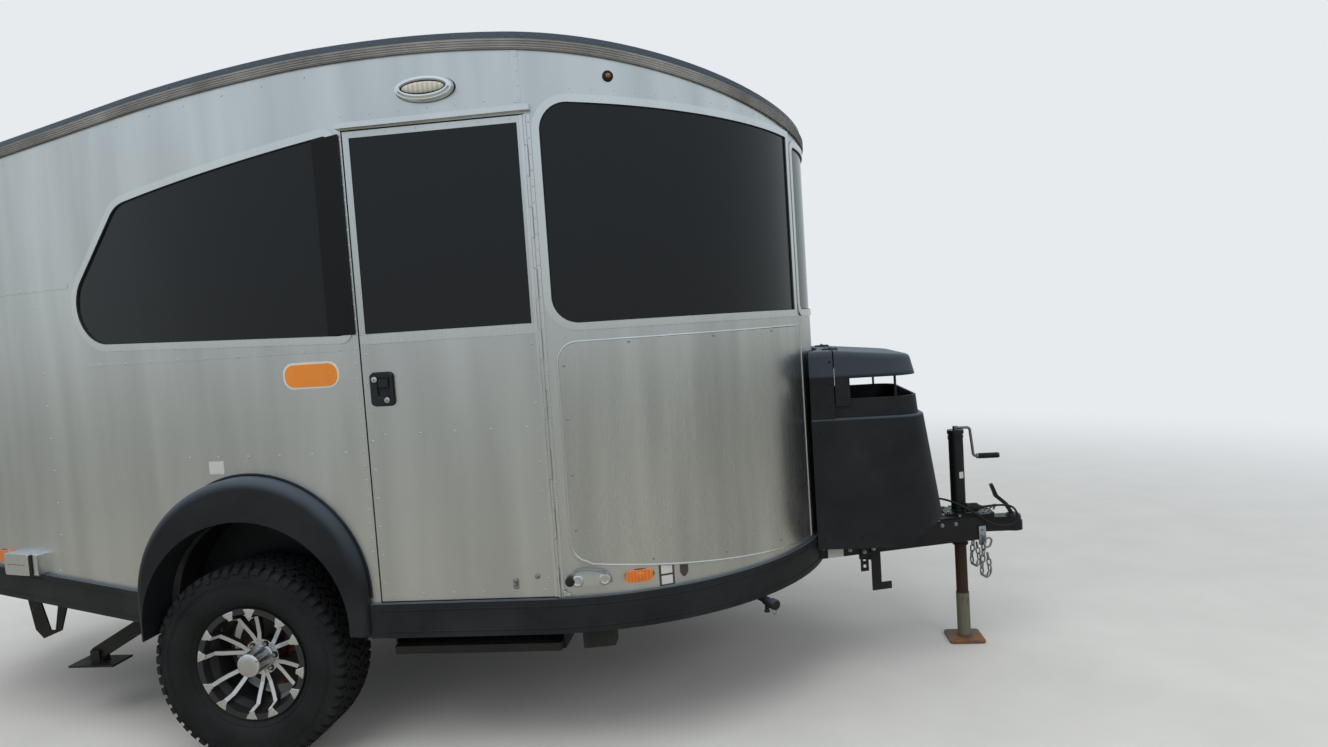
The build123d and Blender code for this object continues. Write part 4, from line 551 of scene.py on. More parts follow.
def machined_rim():
    """Bright turned faces on the spokes and hub, dark grey on the lip, barrel and bolt pockets."""
    def build(graph):
        outward = graph.math("SUBTRACT", graph.math("ABSOLUTE", graph.axis("Y")), WHEEL_Y)
        along = graph.math("SUBTRACT", graph.axis("X"), AXLE_X)
        up = graph.math("SUBTRACT", graph.axis("Z"), WHEEL_Z)
        radius = graph.math("SQRT", graph.math("ADD", graph.math("MULTIPLY", along, along),
                                               graph.math("MULTIPLY", up, up)))
        normal = graph.add("ShaderNodeNewGeometry").outputs["True Normal"]
        facing = graph.math("ABSOLUTE", graph.axis("Y", normal))
        near_hub = graph.math("MULTIPLY", graph.spread(radius, 0.1640, 0.1650, 1.0, 0.0),
                              graph.spread(outward, 0.0215, 0.0225))
        near_lip = graph.math("MULTIPLY", graph.spread(radius, 0.1825, 0.1835, 1.0, 0.0),
                              graph.spread(outward, 0.0550, 0.0560))
        silver = graph.math("MULTIPLY", graph.spread(facing, 0.15, 0.18),
                            graph.math("MAXIMUM", near_hub, near_lip))
        turned = graph.noise(500.0, 2.0)
        rust = graph.math("MULTIPLY", worn(graph, 42.0, 0.52), graph.spread(radius, 0.050, 0.078, 0.85, 0.0))
        bright = graph.mix(graph.spread(turned, 0.3, 0.7), (0.60, 0.60, 0.60), (0.76, 0.76, 0.76))
        bright = graph.mix(rust, bright, (0.13, 0.060, 0.030))
        polish = graph.math("MULTIPLY", graph.spread(facing, 0.30, 0.65, 0.12, 0.65),
                            graph.spread(rust, 0.0, 1.0, 1.0, 0.15))
        return dict(
            Base_Color=graph.mix(silver, (0.022, 0.022, 0.024), bright),
            Metallic=graph.math("MULTIPLY", silver, polish),
            Roughness=0.30,
            Normal=graph.bump(turned, 0.05, 0.0003),
        )
    return finish("machined rim", build)


def gloss_black():
    def build(graph):
        return dict(
            Base_Color=(0.005, 0.005, 0.006),
            Specular_IOR_Level=0.22,
            Roughness=graph.wander(0.08, 0.16, 20.0, 3.0),
            Normal=graph.bump(graph.noise(5.0, 2.0), 0.04, 0.002),
        )
    return finish("gloss black panel", build)


# Lines on the body

def body_plan():
    """Points and outward directions of the skin from the middle of the nose, along the right side, to the
    middle of the tail."""
    points = []
    for degree in range(91):
        cosine, sine = math.cos(math.radians(degree)), math.sin(math.radians(degree))
        points.append((NOSE_X + HALF_WIDTH * cosine, -HALF_WIDTH * sine, cosine, -sine))
    for step in range(1, 21):
        points.append((NOSE_X + (TAPER_X - NOSE_X) * step / 20, -HALF_WIDTH, 0.0, -1.0))
    centre_y = TAPER_RADIUS - HALF_WIDTH
    for step in range(1, 31):
        angle = TAPER_ANGLE * step / 30
        points.append((TAPER_X - TAPER_RADIUS * math.sin(angle), centre_y - TAPER_RADIUS * math.cos(angle),
                       -math.sin(angle), -math.cos(angle)))
    bow_x = TAIL_X + TAIL_BOW
    normal = math.pi / 2 + TAPER_ANGLE
    offset = math.cos(normal) * TAPER_X - math.sin(normal) * centre_y + TAPER_RADIUS
    reach = TAIL_BOW - TAIL_CORNER
    bow_end = normal + math.acos((offset - TAIL_CORNER - math.cos(normal) * bow_x) / reach)
    corner = (bow_x + reach * math.cos(bow_end), reach * math.sin(bow_end))
    start = (corner[0] + TAIL_CORNER * math.cos(normal), corner[1] + TAIL_CORNER * math.sin(normal))
    last = points[-1]
    for step in range(1, 31):
        t = step / 30
        points.append((last[0] + (start[0] - last[0]) * t, last[1] + (-start[1] - last[1]) * t,
                       math.cos(normal), -math.sin(normal)))
    for (x, y), radius, first, end in ((corner, TAIL_CORNER, normal, bow_end),
                                       ((bow_x, 0.0), TAIL_BOW, bow_end, math.pi)):
        for step in range(1, 13):
            angle = first + (end - first) * step / 12
            points.append((x + radius * math.cos(angle), -y - radius * math.sin(angle),
                           math.cos(angle), -math.sin(angle)))
    return points


PLAN = body_plan()


def roof_z(x, depth=0.0):
    """Height of the roof line at x, lowered by depth square to it."""
    front_z, back_z = ROOF_TOP - ROOF_FRONT_RADIUS, ROOF_TOP - ROOF_BACK_RADIUS
    if x >= ROOF_PEAK_X:
        return front_z + math.sqrt((ROOF_FRONT_RADIUS - depth) ** 2 - (x - ROOF_PEAK_X) ** 2)
    bend_x = ROOF_PEAK_X - (ROOF_BACK_RADIUS - depth) * math.sin(ROOF_BACK_ANGLE)
    if x >= bend_x:
        return back_z + math.sqrt((ROOF_BACK_RADIUS - depth) ** 2 - (x - ROOF_PEAK_X) ** 2)
    normal = (-math.sin(ROOF_BACK_ANGLE), math.cos(ROOF_BACK_ANGLE))
    offset = normal[0] * ROOF_PEAK_X + normal[1] * back_z + ROOF_BACK_RADIUS
    roll_x = TAIL_X + ROOF_ROLL
    roll_z = (offset - ROOF_ROLL - normal[0] * roll_x) / normal[1]
    if x >= roll_x + (ROOF_ROLL - depth) * normal[0]:
        return (offset - depth - normal[0] * x) / normal[1]
    return roll_z + math.sqrt(max(0.0, (ROOF_ROLL - depth) ** 2 - (x - roll_x) ** 2))


def keel_z(x):
    return KEEL_Z + max(0.0, SWEEP_X - x) * SWEEP_SLOPE


def edge_z(x, below=0.0):
    """Lower side of the roof trim, with x from the wheels' axis."""
    return roof_z(x + AXLE_X, ROOF_EDGE + below)


def rail_z(x):
    """Upper side of the rub rail, with x from the wheels' axis."""
    return keel_z(x + AXLE_X) + RAIL_HEIGHT


# A spot is a pair: a point on a surface and the direction out of it.

def from_axle(x, y, z):
    return Vector((x + AXLE_X, y, z))


def on_side(x, z, proud=0.0, side=-1):
    """Spot on the skin, side -1 right and 1 left, for x ahead of the tail's corner."""
    x += AXLE_X
    for first, second in zip(PLAN, PLAN[1:]):
        if second[0] <= x <= first[0]:
            t = (first[0] - x) / max(1e-9, first[0] - second[0])
            mixed = [a + (b - a) * t for a, b in zip(first, second)]
            out = Vector((mixed[2], -side * mixed[3], 0.0)).normalized()
            return Vector((mixed[0], -side * mixed[1], z)) + out * proud, out
    raise ValueError(f"no wall at x {x}")


def wall(proud=0.0, side=-1):
    """on_side for one side and one lift."""
    return lambda x, z: on_side(x, z, proud, side)


def on_nose(angle, z, proud=0.0):
    """Spot on the nose, with the angle in degrees to the right of straight ahead."""
    turn = math.radians(angle)
    out = Vector((math.cos(turn), -math.sin(turn), 0.0))
    return Vector((NOSE_X, 0.0, z)) + out * (HALF_WIDTH + proud), out


def nose_x(angle):
    """X from the wheels' axis of a point on the nose."""
    return NOSE_AHEAD + HALF_WIDTH * math.cos(math.radians(angle))


def slanted(z, slope=0.0, from_x=1.280):
    """Height on the nose, as a function of the angle, that falls by slope ahead of from_x."""
    return lambda angle: z - slope * (nose_x(angle) - from_x)


def on_tail(y, z, proud=0.0):
    """Spot on the bowed tail."""
    turn = math.asin(y / TAIL_BOW)
    out = Vector((-math.cos(turn), math.sin(turn), 0.0))
    return Vector((TAIL_X + TAIL_BOW, 0.0, z)) + out * (TAIL_BOW + proud), out


# Lines and outlines

def steps(first, last, pitch):
    """Evenly spaced values from first to last, about pitch apart."""
    count = max(1, round(abs(last - first) / pitch))
    return [first + (last - first) * i / count for i in range(count + 1)]


def turns(count):
    """Angles evenly round a circle."""
    return [2 * math.pi * i / count for i in range(count)]


def circle(radius, sides):
    return [(radius * math.cos(turn), radius * math.sin(turn)) for turn in turns(sides)]


def filleted(points, radii, steps_round=6):
    """Outline with rounded corners, as pairs."""
    outline = []
    for i, (corner, radius) in enumerate(zip(points, radii)):
        here = Vector(corner)
        before, after = Vector(points[i - 1]) - here, Vector(points[(i + 1) % len(points)]) - here
        before.normalize()
        after.normalize()
        half = math.acos(max(-1.0, min(1.0, before.dot(after)))) / 2
        centre = here + (before + after).normalized() * (radius / math.sin(half))
        start = here + before * (radius / math.tan(half)) - centre
        end = here + after * (radius / math.tan(half)) - centre
        first = math.atan2(start.y, start.x)
        turn = (math.atan2(end.y, end.x) - first + math.pi) % (2 * math.pi) - math.pi
        for step in range(steps_round + 1):
            angle = first + turn * step / steps_round
            outline.append((centre.x + radius * math.cos(angle), centre.y + radius * math.sin(angle)))
    return outline


def rectangle(x, z, width, height, rounding, steps_round=5):
    corners = [(x + a * width / 2, z + b * height / 2) for a, b in CORNERS]
    return filleted(corners, (rounding,) * 4, steps_round)


def nose_outline(bottom, top, front, back, rounding, both_ends=False):
    """(angle, z) round a field on the nose. bottom and top are functions of the angle in degrees."""
    reach = math.degrees(rounding / HALF_WIDTH)
    near = front + (reach if both_ends else 0.0)
    far = back - reach
    outline = [(angle, bottom(angle)) for angle in steps(near, far, 4.0)]

    def corner(angle, z, first, skipped=0):
        for step in range(skipped, 7):
            turn = math.radians(first + 15 * step)
            outline.append((angle + reach * math.cos(turn), z + rounding * math.sin(turn)))

    corner(far, bottom(back) + rounding, -90, 1)
    corner(far, top(back) - rounding, 0)
    outline += [(angle, top(angle)) for angle in steps(far, near, 4.0)][1:]
    if both_ends:
        corner(near, top(front) - rounding, 90, 1)
        corner(near, bottom(front) + rounding, 180)
    return outline


def on_outline(outline, place):
    """Spots along a closed outline, no further apart than 40 mm."""
    spots = []
    for first, second in zip(outline, outline[1:] + outline[:1]):
        count = max(1, math.ceil(math.dist(first, second) / 0.04))
        for i in range(count):
            spots.append(place(first[0] + (second[0] - first[0]) * i / count,
                               first[1] + (second[1] - first[1]) * i / count))
    return spots


def bead(width, height, points=4):
    """Half-round profile that stands on a surface."""
    return [(height * math.sin(math.pi * i / points), -width / 2 * math.cos(math.pi * i / points))
            for i in range(points + 1)]


def strip(width, height):
    """Flat strip with eased edges."""
    w, ease = width / 2, min(height * 0.5, 0.001)
    return [(0.0, -w), (height - ease, -w), (height, ease - w), (height, w - ease), (height - ease, w),
            (0.0, w)]


REAR_WINDOW = filleted(((0.468, 2.188), (-0.440, 2.043), (-0.856, 1.547), (0.468, 1.508)),
                       (0.018, 0.120, 0.150, 0.018), 8)


# Pieces

def place_piece(name, data, material, body):
    """The object of a mesh or curve, in its finish and on its body."""
    data.materials.clear()
    data.materials.append(material)
    piece = bpy.data.objects.new(name, data)
    bpy.context.collection.objects.link(piece)
    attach(piece, body)
    return piece


def stacked(count, bottom=False):
    """Faces of three rings of points, closed on top."""
    faces = [tuple(range(2 * count, 3 * count))]
    if bottom:
        faces.append(tuple(reversed(range(count))))
    for row in (0, count):
        for i in range(count):
            j = (i + 1) % count
            faces.append((row + i, row + j, row + count + j, row + count + i))
    return faces


class Build:
    """Collects the verts and faces of one piece."""

    def __init__(self):
        self.verts, self.faces = [], []

    def add(self, verts, faces):
        start = len(self.verts)
        self.verts += [Vector(v) for v in verts]
        self.faces += [tuple(start + i for i in face) for face in faces]

    def dome(self, spot, radius, height, sides=10, rings=2):
        """A rivet or bolt head."""
        point, out = spot
        across = out.orthogonal().normalized()
        along = out.cross(across)
        verts, faces = [], []
        for ring in range(rings + 1):
            lift = ring / (rings + 1)
            wide = radius * math.cos(lift * math.pi / 2)
            for turn in turns(sides):
                verts.append(point + out * height * math.sin(lift * math.pi / 2)
                             + (across * math.cos(turn) + along * math.sin(turn)) * wide)
        verts.append(point + out * height)
        for ring in range(rings):
            for side in range(sides):
                a, b = ring * sides + side, ring * sides + (side + 1) % sides
                faces.append((a, b, b + sides, a + sides))
        top = rings * sides
        for side in range(sides):
            faces.append((top + side, top + (side + 1) % sides, len(verts) - 1))
        self.add(verts, faces)

    def prism(self, outline, out, depth):
        """A plate from a closed outline of points, raised along out, with its edges eased."""
        centre = sum(outline, Vector()) / len(outline)
        ease = min(abs(depth) * 0.35, 0.0025)
        shoulder = [p + out * (depth - math.copysign(ease, depth)) for p in outline]
        top = [p + (centre - p).normalized() * ease + out * depth for p in outline]
        self.add([*outline, *shoulder, *top], stacked(len(outline), True))

    def plate(self, outline, place, depth):
        """A plate with this outline on a surface."""
        line = [place(a, b) for a, b in outline]
        out = sum((o for _, o in line), Vector()).normalized()
        self.prism([p for p, _ in line], out, depth)

    def block(self, spot, along, across, depth):
        """A small block. along and across reach from its middle to its edges."""
        centre, out = spot
        self.prism([centre + along * u + across * v for u, v in CORNERS], out, depth)

    def sweep(self, spots, profile, closed=False):
        """A profile along a line of spots. profile holds pairs outward and across."""
        count, size = len(spots), len(profile)
        verts, faces = [], []
        for i, (point, out) in enumerate(spots):
            before = spots[(i - 1) % count][0] if closed or i else point
            after = spots[(i + 1) % count][0] if closed or i < count - 1 else point
            across = (after - before).normalized().cross(out).normalized()
            verts += [point + out * u + across * v for u, v in profile]
        for i in range(count if closed else count - 1):
            j = (i + 1) % count
            for k in range(size):
                m = (k + 1) % size
                faces.append((i * size + k, i * size + m, j * size + m, j * size + k))
        if not closed:
            faces += [tuple(reversed(range(size))), tuple(range((count - 1) * size, count * size))]
        self.add(verts, faces)

    def spin(self, outline, spot, sides, across=UP):
        """A turned shape. outline holds (radius, distance along the axis)."""
        centre, axis = spot
        along = axis.cross(across)
        size = len(outline)
        verts, faces = [], []
        for i, turn in enumerate(turns(sides)):
            spoke = across * math.cos(turn) + along * math.sin(turn)
            verts += [centre + spoke * r + axis * h for r, h in outline]
            j = (i + 1) % sides
            for k in range(size - 1):
                faces.append((i * size + k, i * size + k + 1, j * size + k + 1, j * size + k))
        self.add(verts, faces)

    def piece(self, name, material, slot, body="caravan", angle=35.0):
        """The finished piece, with outward normals and edges crisp above an angle."""
        data = bpy.data.meshes.new(name)
        data.from_pydata([tuple(v) for v in self.verts], [], self.faces)
        data.validate()
        data.update()
        data.polygons.foreach_set("use_smooth", [True] * len(data.polygons))
        made = place_piece(name, data, material, body)
        mesh = bmesh.new()
        mesh.from_mesh(data)
        bmesh.ops.recalc_face_normals(mesh, faces=mesh.faces)
        for edge in mesh.edges:
            if len(edge.link_faces) == 2 and edge.calc_face_angle(0.0) > math.radians(angle):
                edge.smooth = False
        mesh.to_mesh(data)
        mesh.free()
        return made


def bent_line(name, points, radius, resolution, bevel, point_radius=1.0):
    """Curve of a bent wire or cable along a smooth line."""
    curve = bpy.data.curves.new(name, "CURVE")
    curve.dimensions = "3D"
    spline = curve.splines.new("NURBS")
    spline.points.add(len(points) - 1)
    for target, point in zip(spline.points, points):
        target.co = (*point, 1.0)
        target.radius = point_radius
    spline.order_u = 3
    spline.use_endpoint_u = True
    spline.resolution_u = resolution
    curve.bevel_depth = radius / point_radius
    curve.bevel_resolution = bevel
    curve.use_fill_caps = True
    return curve


def round_bar(name, points, radius, material):
    """A bent wire as a mesh."""
    holder = bpy.data.objects.new(name + "_line", bent_line(name, points, radius, 6, 4))
    bpy.context.collection.objects.link(holder)
    mesh = bpy.data.meshes.new_from_object(holder)
    bpy.data.objects.remove(holder)
    mesh.name = name
    mesh.polygons.foreach_set("use_smooth", [True] * len(mesh.polygons))
    place_piece(name, mesh, material, "caravan")


def dress(node, material):
    """Gives a carried-over CAD node its finish."""
    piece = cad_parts[node]
    if not piece.material_slots:
        piece.data.materials.append(material)
    for place in piece.material_slots:
        place.material = material


# Operators

class CARAVAN_OT_finishes(Operator):
    """Give each solid of the caravan its finish"""
    bl_idname = "caravan.finishes"
    bl_label = "Finishes"

    def execute(self, context):
        table = (
            (skin_sheet(), "wall_right wall_left wall_nose wall_tail entry_door rear_hatch"),
            (guard_sheet(), "stone_guards"),
            (bright_metal(), "drip_cap rear_window_frame nose_side_window_frame nose_centre_window_frame "
                             "door_hinge_fixed door_hinge_moving hatch_hinges"),
            (painted("roof paint", palette().roof, 0.42, 0.1, 0.0), "roof_shell"),
            (trim_rubber(), "roof_trim"),
            (tinted_glass(), "rear_window_glass nose_side_window_glass nose_centre_window_glass door_glass "
                             "hatch_glass"),
            (cover_plastic(), "gas_cover gas_lid"),
            (black_plastic(), "wheel_flares rub_rails door_handle wheel_housings tongue_cable"),
            (dull_zinc(), "safety_chains"),
            (chassis_paint(), "chassis_frame axle_beam suspension_arms coupler bottle_tray "
                              "stabiliser_leg_right stabiliser_leg_left stabiliser_foot_right "
                              "stabiliser_foot_left stabiliser_brackets step_slides entry_step "
                              "underbody_fittings"),
            (rusty_paint("jack tube paint", 0.62), "jack_tube"),
            (jack_leg_paint(), "jack_leg"),
            (raw_metal("crank steel", (0.26, 0.25, 0.23), 0.42, 0.4), "jack_crank"),
            (painted("floor board", (0.050, 0.043, 0.036), 0.6, 0.0), "floor_deck"),
            (painted("bottle paint", (0.72, 0.73, 0.72), 0.3, 0.3), "gas_bottles"),
            (machined_rim(), "rim_right rim_left"),
            (tyre_rubber(), "tyre_right tyre_left"),
            (rusty_paint("cast drum", 0.50, (0.035, 0.033, 0.031)), "brake_drum_right brake_drum_left"),
            (white_moulding(), "air_conditioner roof_vent_base roof_vent_lid"),
            (chrome(), "porch_lamp"),
            (amber_lens(), "marker_lamps"),
            (red_lens(), "tail_lamps"),
        )
        for material, nodes in table:
            for node in nodes.split():
                dress(node, material)
        return {"FINISHED"}


class CARAVAN_OT_sheetwork(Operator):
    """Seams, edge beads, gaskets and rivets of the aluminium skin"""
    bl_idname = "caravan.sheetwork"
    bl_label = "Sheet work"

    def execute(self, context):
        self.seams()
        self.gaskets()
        self.guard_edges()
        self.rivets(context.scene.caravan_sizes.rivet / 2)
        return {"FINISHED"}

    def seams(self):
        laps, band, pillar = Build(), Build(), Build()
        lap = strip(0.018, LAP_LIFT)
        for side in SIDES:
            laps.sweep([on_side(x, LAP_Z, 0.0, side) for x in steps(-0.735, -1.62, 0.05)], lap)
            laps.sweep([on_side(x, SILL_SEAM_Z, 0.0, side) for x in steps(-0.66, 0.486, 0.1)],
                       strip(0.012, SILL_LIFT))
        laps.sweep([on_tail(y, LAP_Z) for y in steps(-0.50, 0.50, 0.05)], lap)
        back, front = LEFT_SEAMS
        for side, x, low, top, width in (
            (-1, HINGE_SEAM_X, 2.236, edge_z(HINGE_SEAM_X) - 0.002, 0.026),
            (1, HINGE_SEAM_X, 0.575, edge_z(HINGE_SEAM_X) - 0.002, 0.026),
            (1, back, rail_z(back) + 0.002, 1.45, 0.022),
            (1, front, rail_z(front) + 0.002, edge_z(front) - 0.002, 0.022),
        ):
            laps.sweep([on_side(x, z, 0.0, side) for z in (low, top)], strip(width, LAP_LIFT))
        for y in TAIL_SEAMS:
            laps.sweep([on_tail(y, z) for z in steps(0.72, 1.76, 0.2)], strip(0.020, LAP_LIFT))
        laps.piece("lap_seams", skin_sheet(), "skin")
        band.sweep([on_side(x, 1.490) for x in (0.521, 1.139)], strip(0.034, 0.0022))
        band.piece("door_window_band", bright_metal(), "bright_trim", "door")
        for x, top, lift, depth in ((0.503, 2.188, 0.0052, 0.0035), (0.470, 2.186, WINDOW_SEAT, 0.0085)):
            pillar.plate(((0.409, 1.511), (x, 1.510), (x, top), (0.409, 2.174)), wall(lift), depth)
        pillar.piece("window_pillar", gloss_black(), "black_plastic")

    def gaskets(self):
        rubber, arches, hatch = Build(), Build(), Build()
        round_lip = bead(0.007, 0.005)
        nose_side = nose_outline(slanted(NOSE_SILL_Z), slanted(2.228, NOSE_HEAD_SLOPE), 23.6, 84.0, 0.090)
        nose_centre = nose_outline(slanted(NOSE_SILL_Z), slanted(2.146), -20.0, 20.0, 0.026, True)
        for side in SIDES:
            rubber.sweep(on_outline(REAR_WINDOW, wall(WINDOW_SEAT, side)), round_lip, True)
            rubber.sweep([on_nose(-side * a, z, WINDOW_SEAT) for a, z in nose_side], round_lip, True)
        rubber.sweep([on_nose(a, z, WINDOW_SEAT) for a, z in nose_centre], round_lip, True)
        rubber.piece("window_gaskets", seal_rubber(), "trim_rubber")
        for side in SIDES:
            line = []
            for degree in range(-14, 195, 4):
                turn = math.radians(degree)
                x, z = ARCH_X + ARCH_RADIUS * math.cos(turn), ARCH_Z + ARCH_RADIUS * math.sin(turn)
                if z > rail_z(x) + 0.004:
                    line.append(on_side(x, z, 0.0, side))
            arches.sweep(line, bead(0.010, 0.005))
        arches.piece("arch_seals", seal_rubber(), "trim_rubber")
        outline = rectangle(0.0, HATCH_GLASS_Z, 0.540, 0.390, 0.035)
        hatch.sweep(on_outline(outline, lambda y, z: on_tail(y, z, WINDOW_SEAT)), bead(0.008, 0.006), True)
        hatch.piece("hatch_glass_gasket", seal_rubber(), "trim_rubber", "hatch")

    def guard_edges(self):
        edge, heads = Build(), Build()
        outline = nose_outline(slanted(0.678, 0.125, 1.285), slanted(1.438), 20.9, 83.7, 0.067)
        screws = ((82.6, 0.80), (82.6, 0.99), (82.6, 1.18), (82.6, 1.36), (68.0, 0.676), (52.0, 0.652),
                  (36.0, 0.633), (70.0, 1.426), (52.0, 1.426), (35.0, 1.426))
        for side in SIDES:
            edge.sweep([on_nose(-side * a, z, 0.004) for a, z in outline], bead(0.007, 0.003), True)
            for angle, z in screws:
                heads.dome(on_nose(-side * angle, z, 0.004), 0.0055, 0.003)
        edge.piece("guard_beads", bright_metal(), "bright_trim")
        heads.piece("guard_screws", screw_steel(), "stainless")

    def rivets(self, radius):
        body, door, hatch, hinge = Build(), Build(), Build(), Build()
        back, front = LEFT_SEAMS
        door_top = edge_z(1.138) - 0.02
        nose_head = slanted(2.286, NOSE_HEAD_SLOPE)
        rows = [                 # build, share of the full size, spots
            (body, 0.9, [on_side(0.506 if 1.50 < z < 2.20 else 0.497, z)
                         for z in steps(0.600, 2.170, 0.050)]),
            (body, 1.0, [on_side(x, 2.247 + (x - 0.52) * 0.006) for x in steps(0.520, 1.120, 0.098)]),
            (body, 0.9, [on_side(1.135, z, LAP_LIFT) for z in steps(2.245, door_top, 0.043)]),
            (body, 0.9, [on_side(1.135, z, LAP_LIFT, 1) for z in steps(0.600, door_top, 0.060)]),
            (body, 0.9, [on_side(back, z, LAP_LIFT, 1) for z in steps(rail_z(back) + 0.03, 1.44, 0.065)]),
            (body, 0.9, [on_side(front, z, LAP_LIFT, 1)
                         for z in steps(rail_z(front) + 0.03, edge_z(front) - 0.03, 0.065)]),
            (body, 1.0, [on_tail(y, LAP_Z, LAP_LIFT) for y in steps(-0.46, 0.46, 0.08)]),
            (body, 0.9, [on_tail(y, z, LAP_LIFT) for y in TAIL_SEAMS for z in steps(0.74, 1.74, 0.08)]),
            (door, 1.0, [on_side(x, z) for z in steps(0.640, 1.440, 0.100) for x in (0.533, 1.118)]),
            (door, 1.0, [on_side(x, 1.160) for x in steps(0.58, 1.08, 0.130)]),
            (door, 1.0, [on_side(x, 0.600) for x in steps(0.56, 1.10, 0.117)]),
            (door, 0.8, [on_side(x, 2.184) for x in steps(0.56, 1.10, 0.117)]),
            (door, 0.7, [on_side(x, z) for z in steps(1.56, 2.14, 0.116) for x in (0.528, 1.134)]),
            (hinge, 0.8, [on_side(1.1625, z, 0.0033) for z in steps(0.600, 2.170, 0.053)]),
            (hatch, 1.0, [on_tail(y, z) for y in steps(-0.29, 0.29, 0.116) for z in (0.818, 1.622)]),
            (hatch, 1.0, [on_tail(y, z) for z in steps(0.87, 1.57, 0.1) for y in (-0.322, 0.322)]),
        ]
        for side in SIDES:
            rows += [
                (body, 1.0, [on_side(x, 1.105, 0.0, side) for x in steps(-0.200, 0.430, 0.135)]),
                (body, 1.0, [on_side(x, SILL_SEAM_Z, SILL_LIFT, side) for x in steps(-0.600, 0.440, 0.130)]),
                (body, 1.0, [on_side(x, LAP_Z, LAP_LIFT, side) for x in steps(-0.780, -1.600, 0.075)]),
                (body, 1.0, [on_side(x, edge_z(x, 0.030), 0.0, side) for x in steps(0.40, -1.50, 0.16)]),
                (body, 1.0, [on_side(-1.545, z, 0.0, side) for z in steps(0.84, 1.70, 0.12)]),
                (body, 1.0, [on_side(-0.92, z, 0.0, side) for z in steps(0.80, 1.70, 0.12)]),
                (body, 1.0, [on_side(x, rail_z(x) + 0.022, 0.0, side) for x in steps(-0.95, -1.50, 0.14)]),
                (body, 0.8, [on_nose(-side * a, nose_head(a) - 0.012) for a in steps(24.0, 82.0, 4.2)]),
                (body, 0.8, [on_nose(-side * a, 1.457) for a in steps(24.0, 82.0, 4.2)]),
            ]
        for build, share, spots in rows:
            for spot in spots:
                build.dome(spot, radius * share, radius * share * 0.5, 8, 1)
        head = bright_metal()
        body.piece("body_rivets", head, "skin")
        door.piece("door_rivets", head, "skin", "door")
        hatch.piece("hatch_rivets", head, "skin", "hatch")
        hinge.piece("hinge_rivets", head, "bright_trim")


# Wheels

def at_wheel(side, radius, degrees, outward):
    """Point on a wheel, with the angle from ahead towards up and outward from the middle of the tyre."""
    turn = math.radians(degrees)
    return Vector((AXLE_X + radius * math.cos(turn), side * (WHEEL_Y + outward),
                   WHEEL_Z + radius * math.sin(turn)))


TYRE_SECTION = (             # radius and distance outward from the middle of the tyre
    (0.1925, 0.083), (0.206, 0.0845), (0.212, 0.0905), (0.222, 0.0985), (0.236, 0.1085), (0.252, 0.1145),
    (0.266, 0.1160), (0.284, 0.1158), (0.300, 0.1148), (0.316, 0.1136), (0.330, 0.1118), (0.340, 0.1085),
    (0.3455, 0.1020), (0.3485, 0.0900), (0.3495, 0.0500),
)
TREAD_ROWS = (               # middle across, half width, skew, half length, share of a pitch ahead
    (0.000, 0.0120, 0.008, 0.0150, 0.00),
    (0.031, 0.0130, 0.006, 0.0145, 0.45),
    (-0.031, 0.0130, -0.006, 0.0145, 0.20),
    (0.063, 0.0130, -0.005, 0.0145, 0.80),
    (-0.063, 0.0130, 0.005, 0.0145, 0.60),
)
DEGREES_PER_METRE = 360.0 / (2 * math.pi * TYRE_RADIUS)


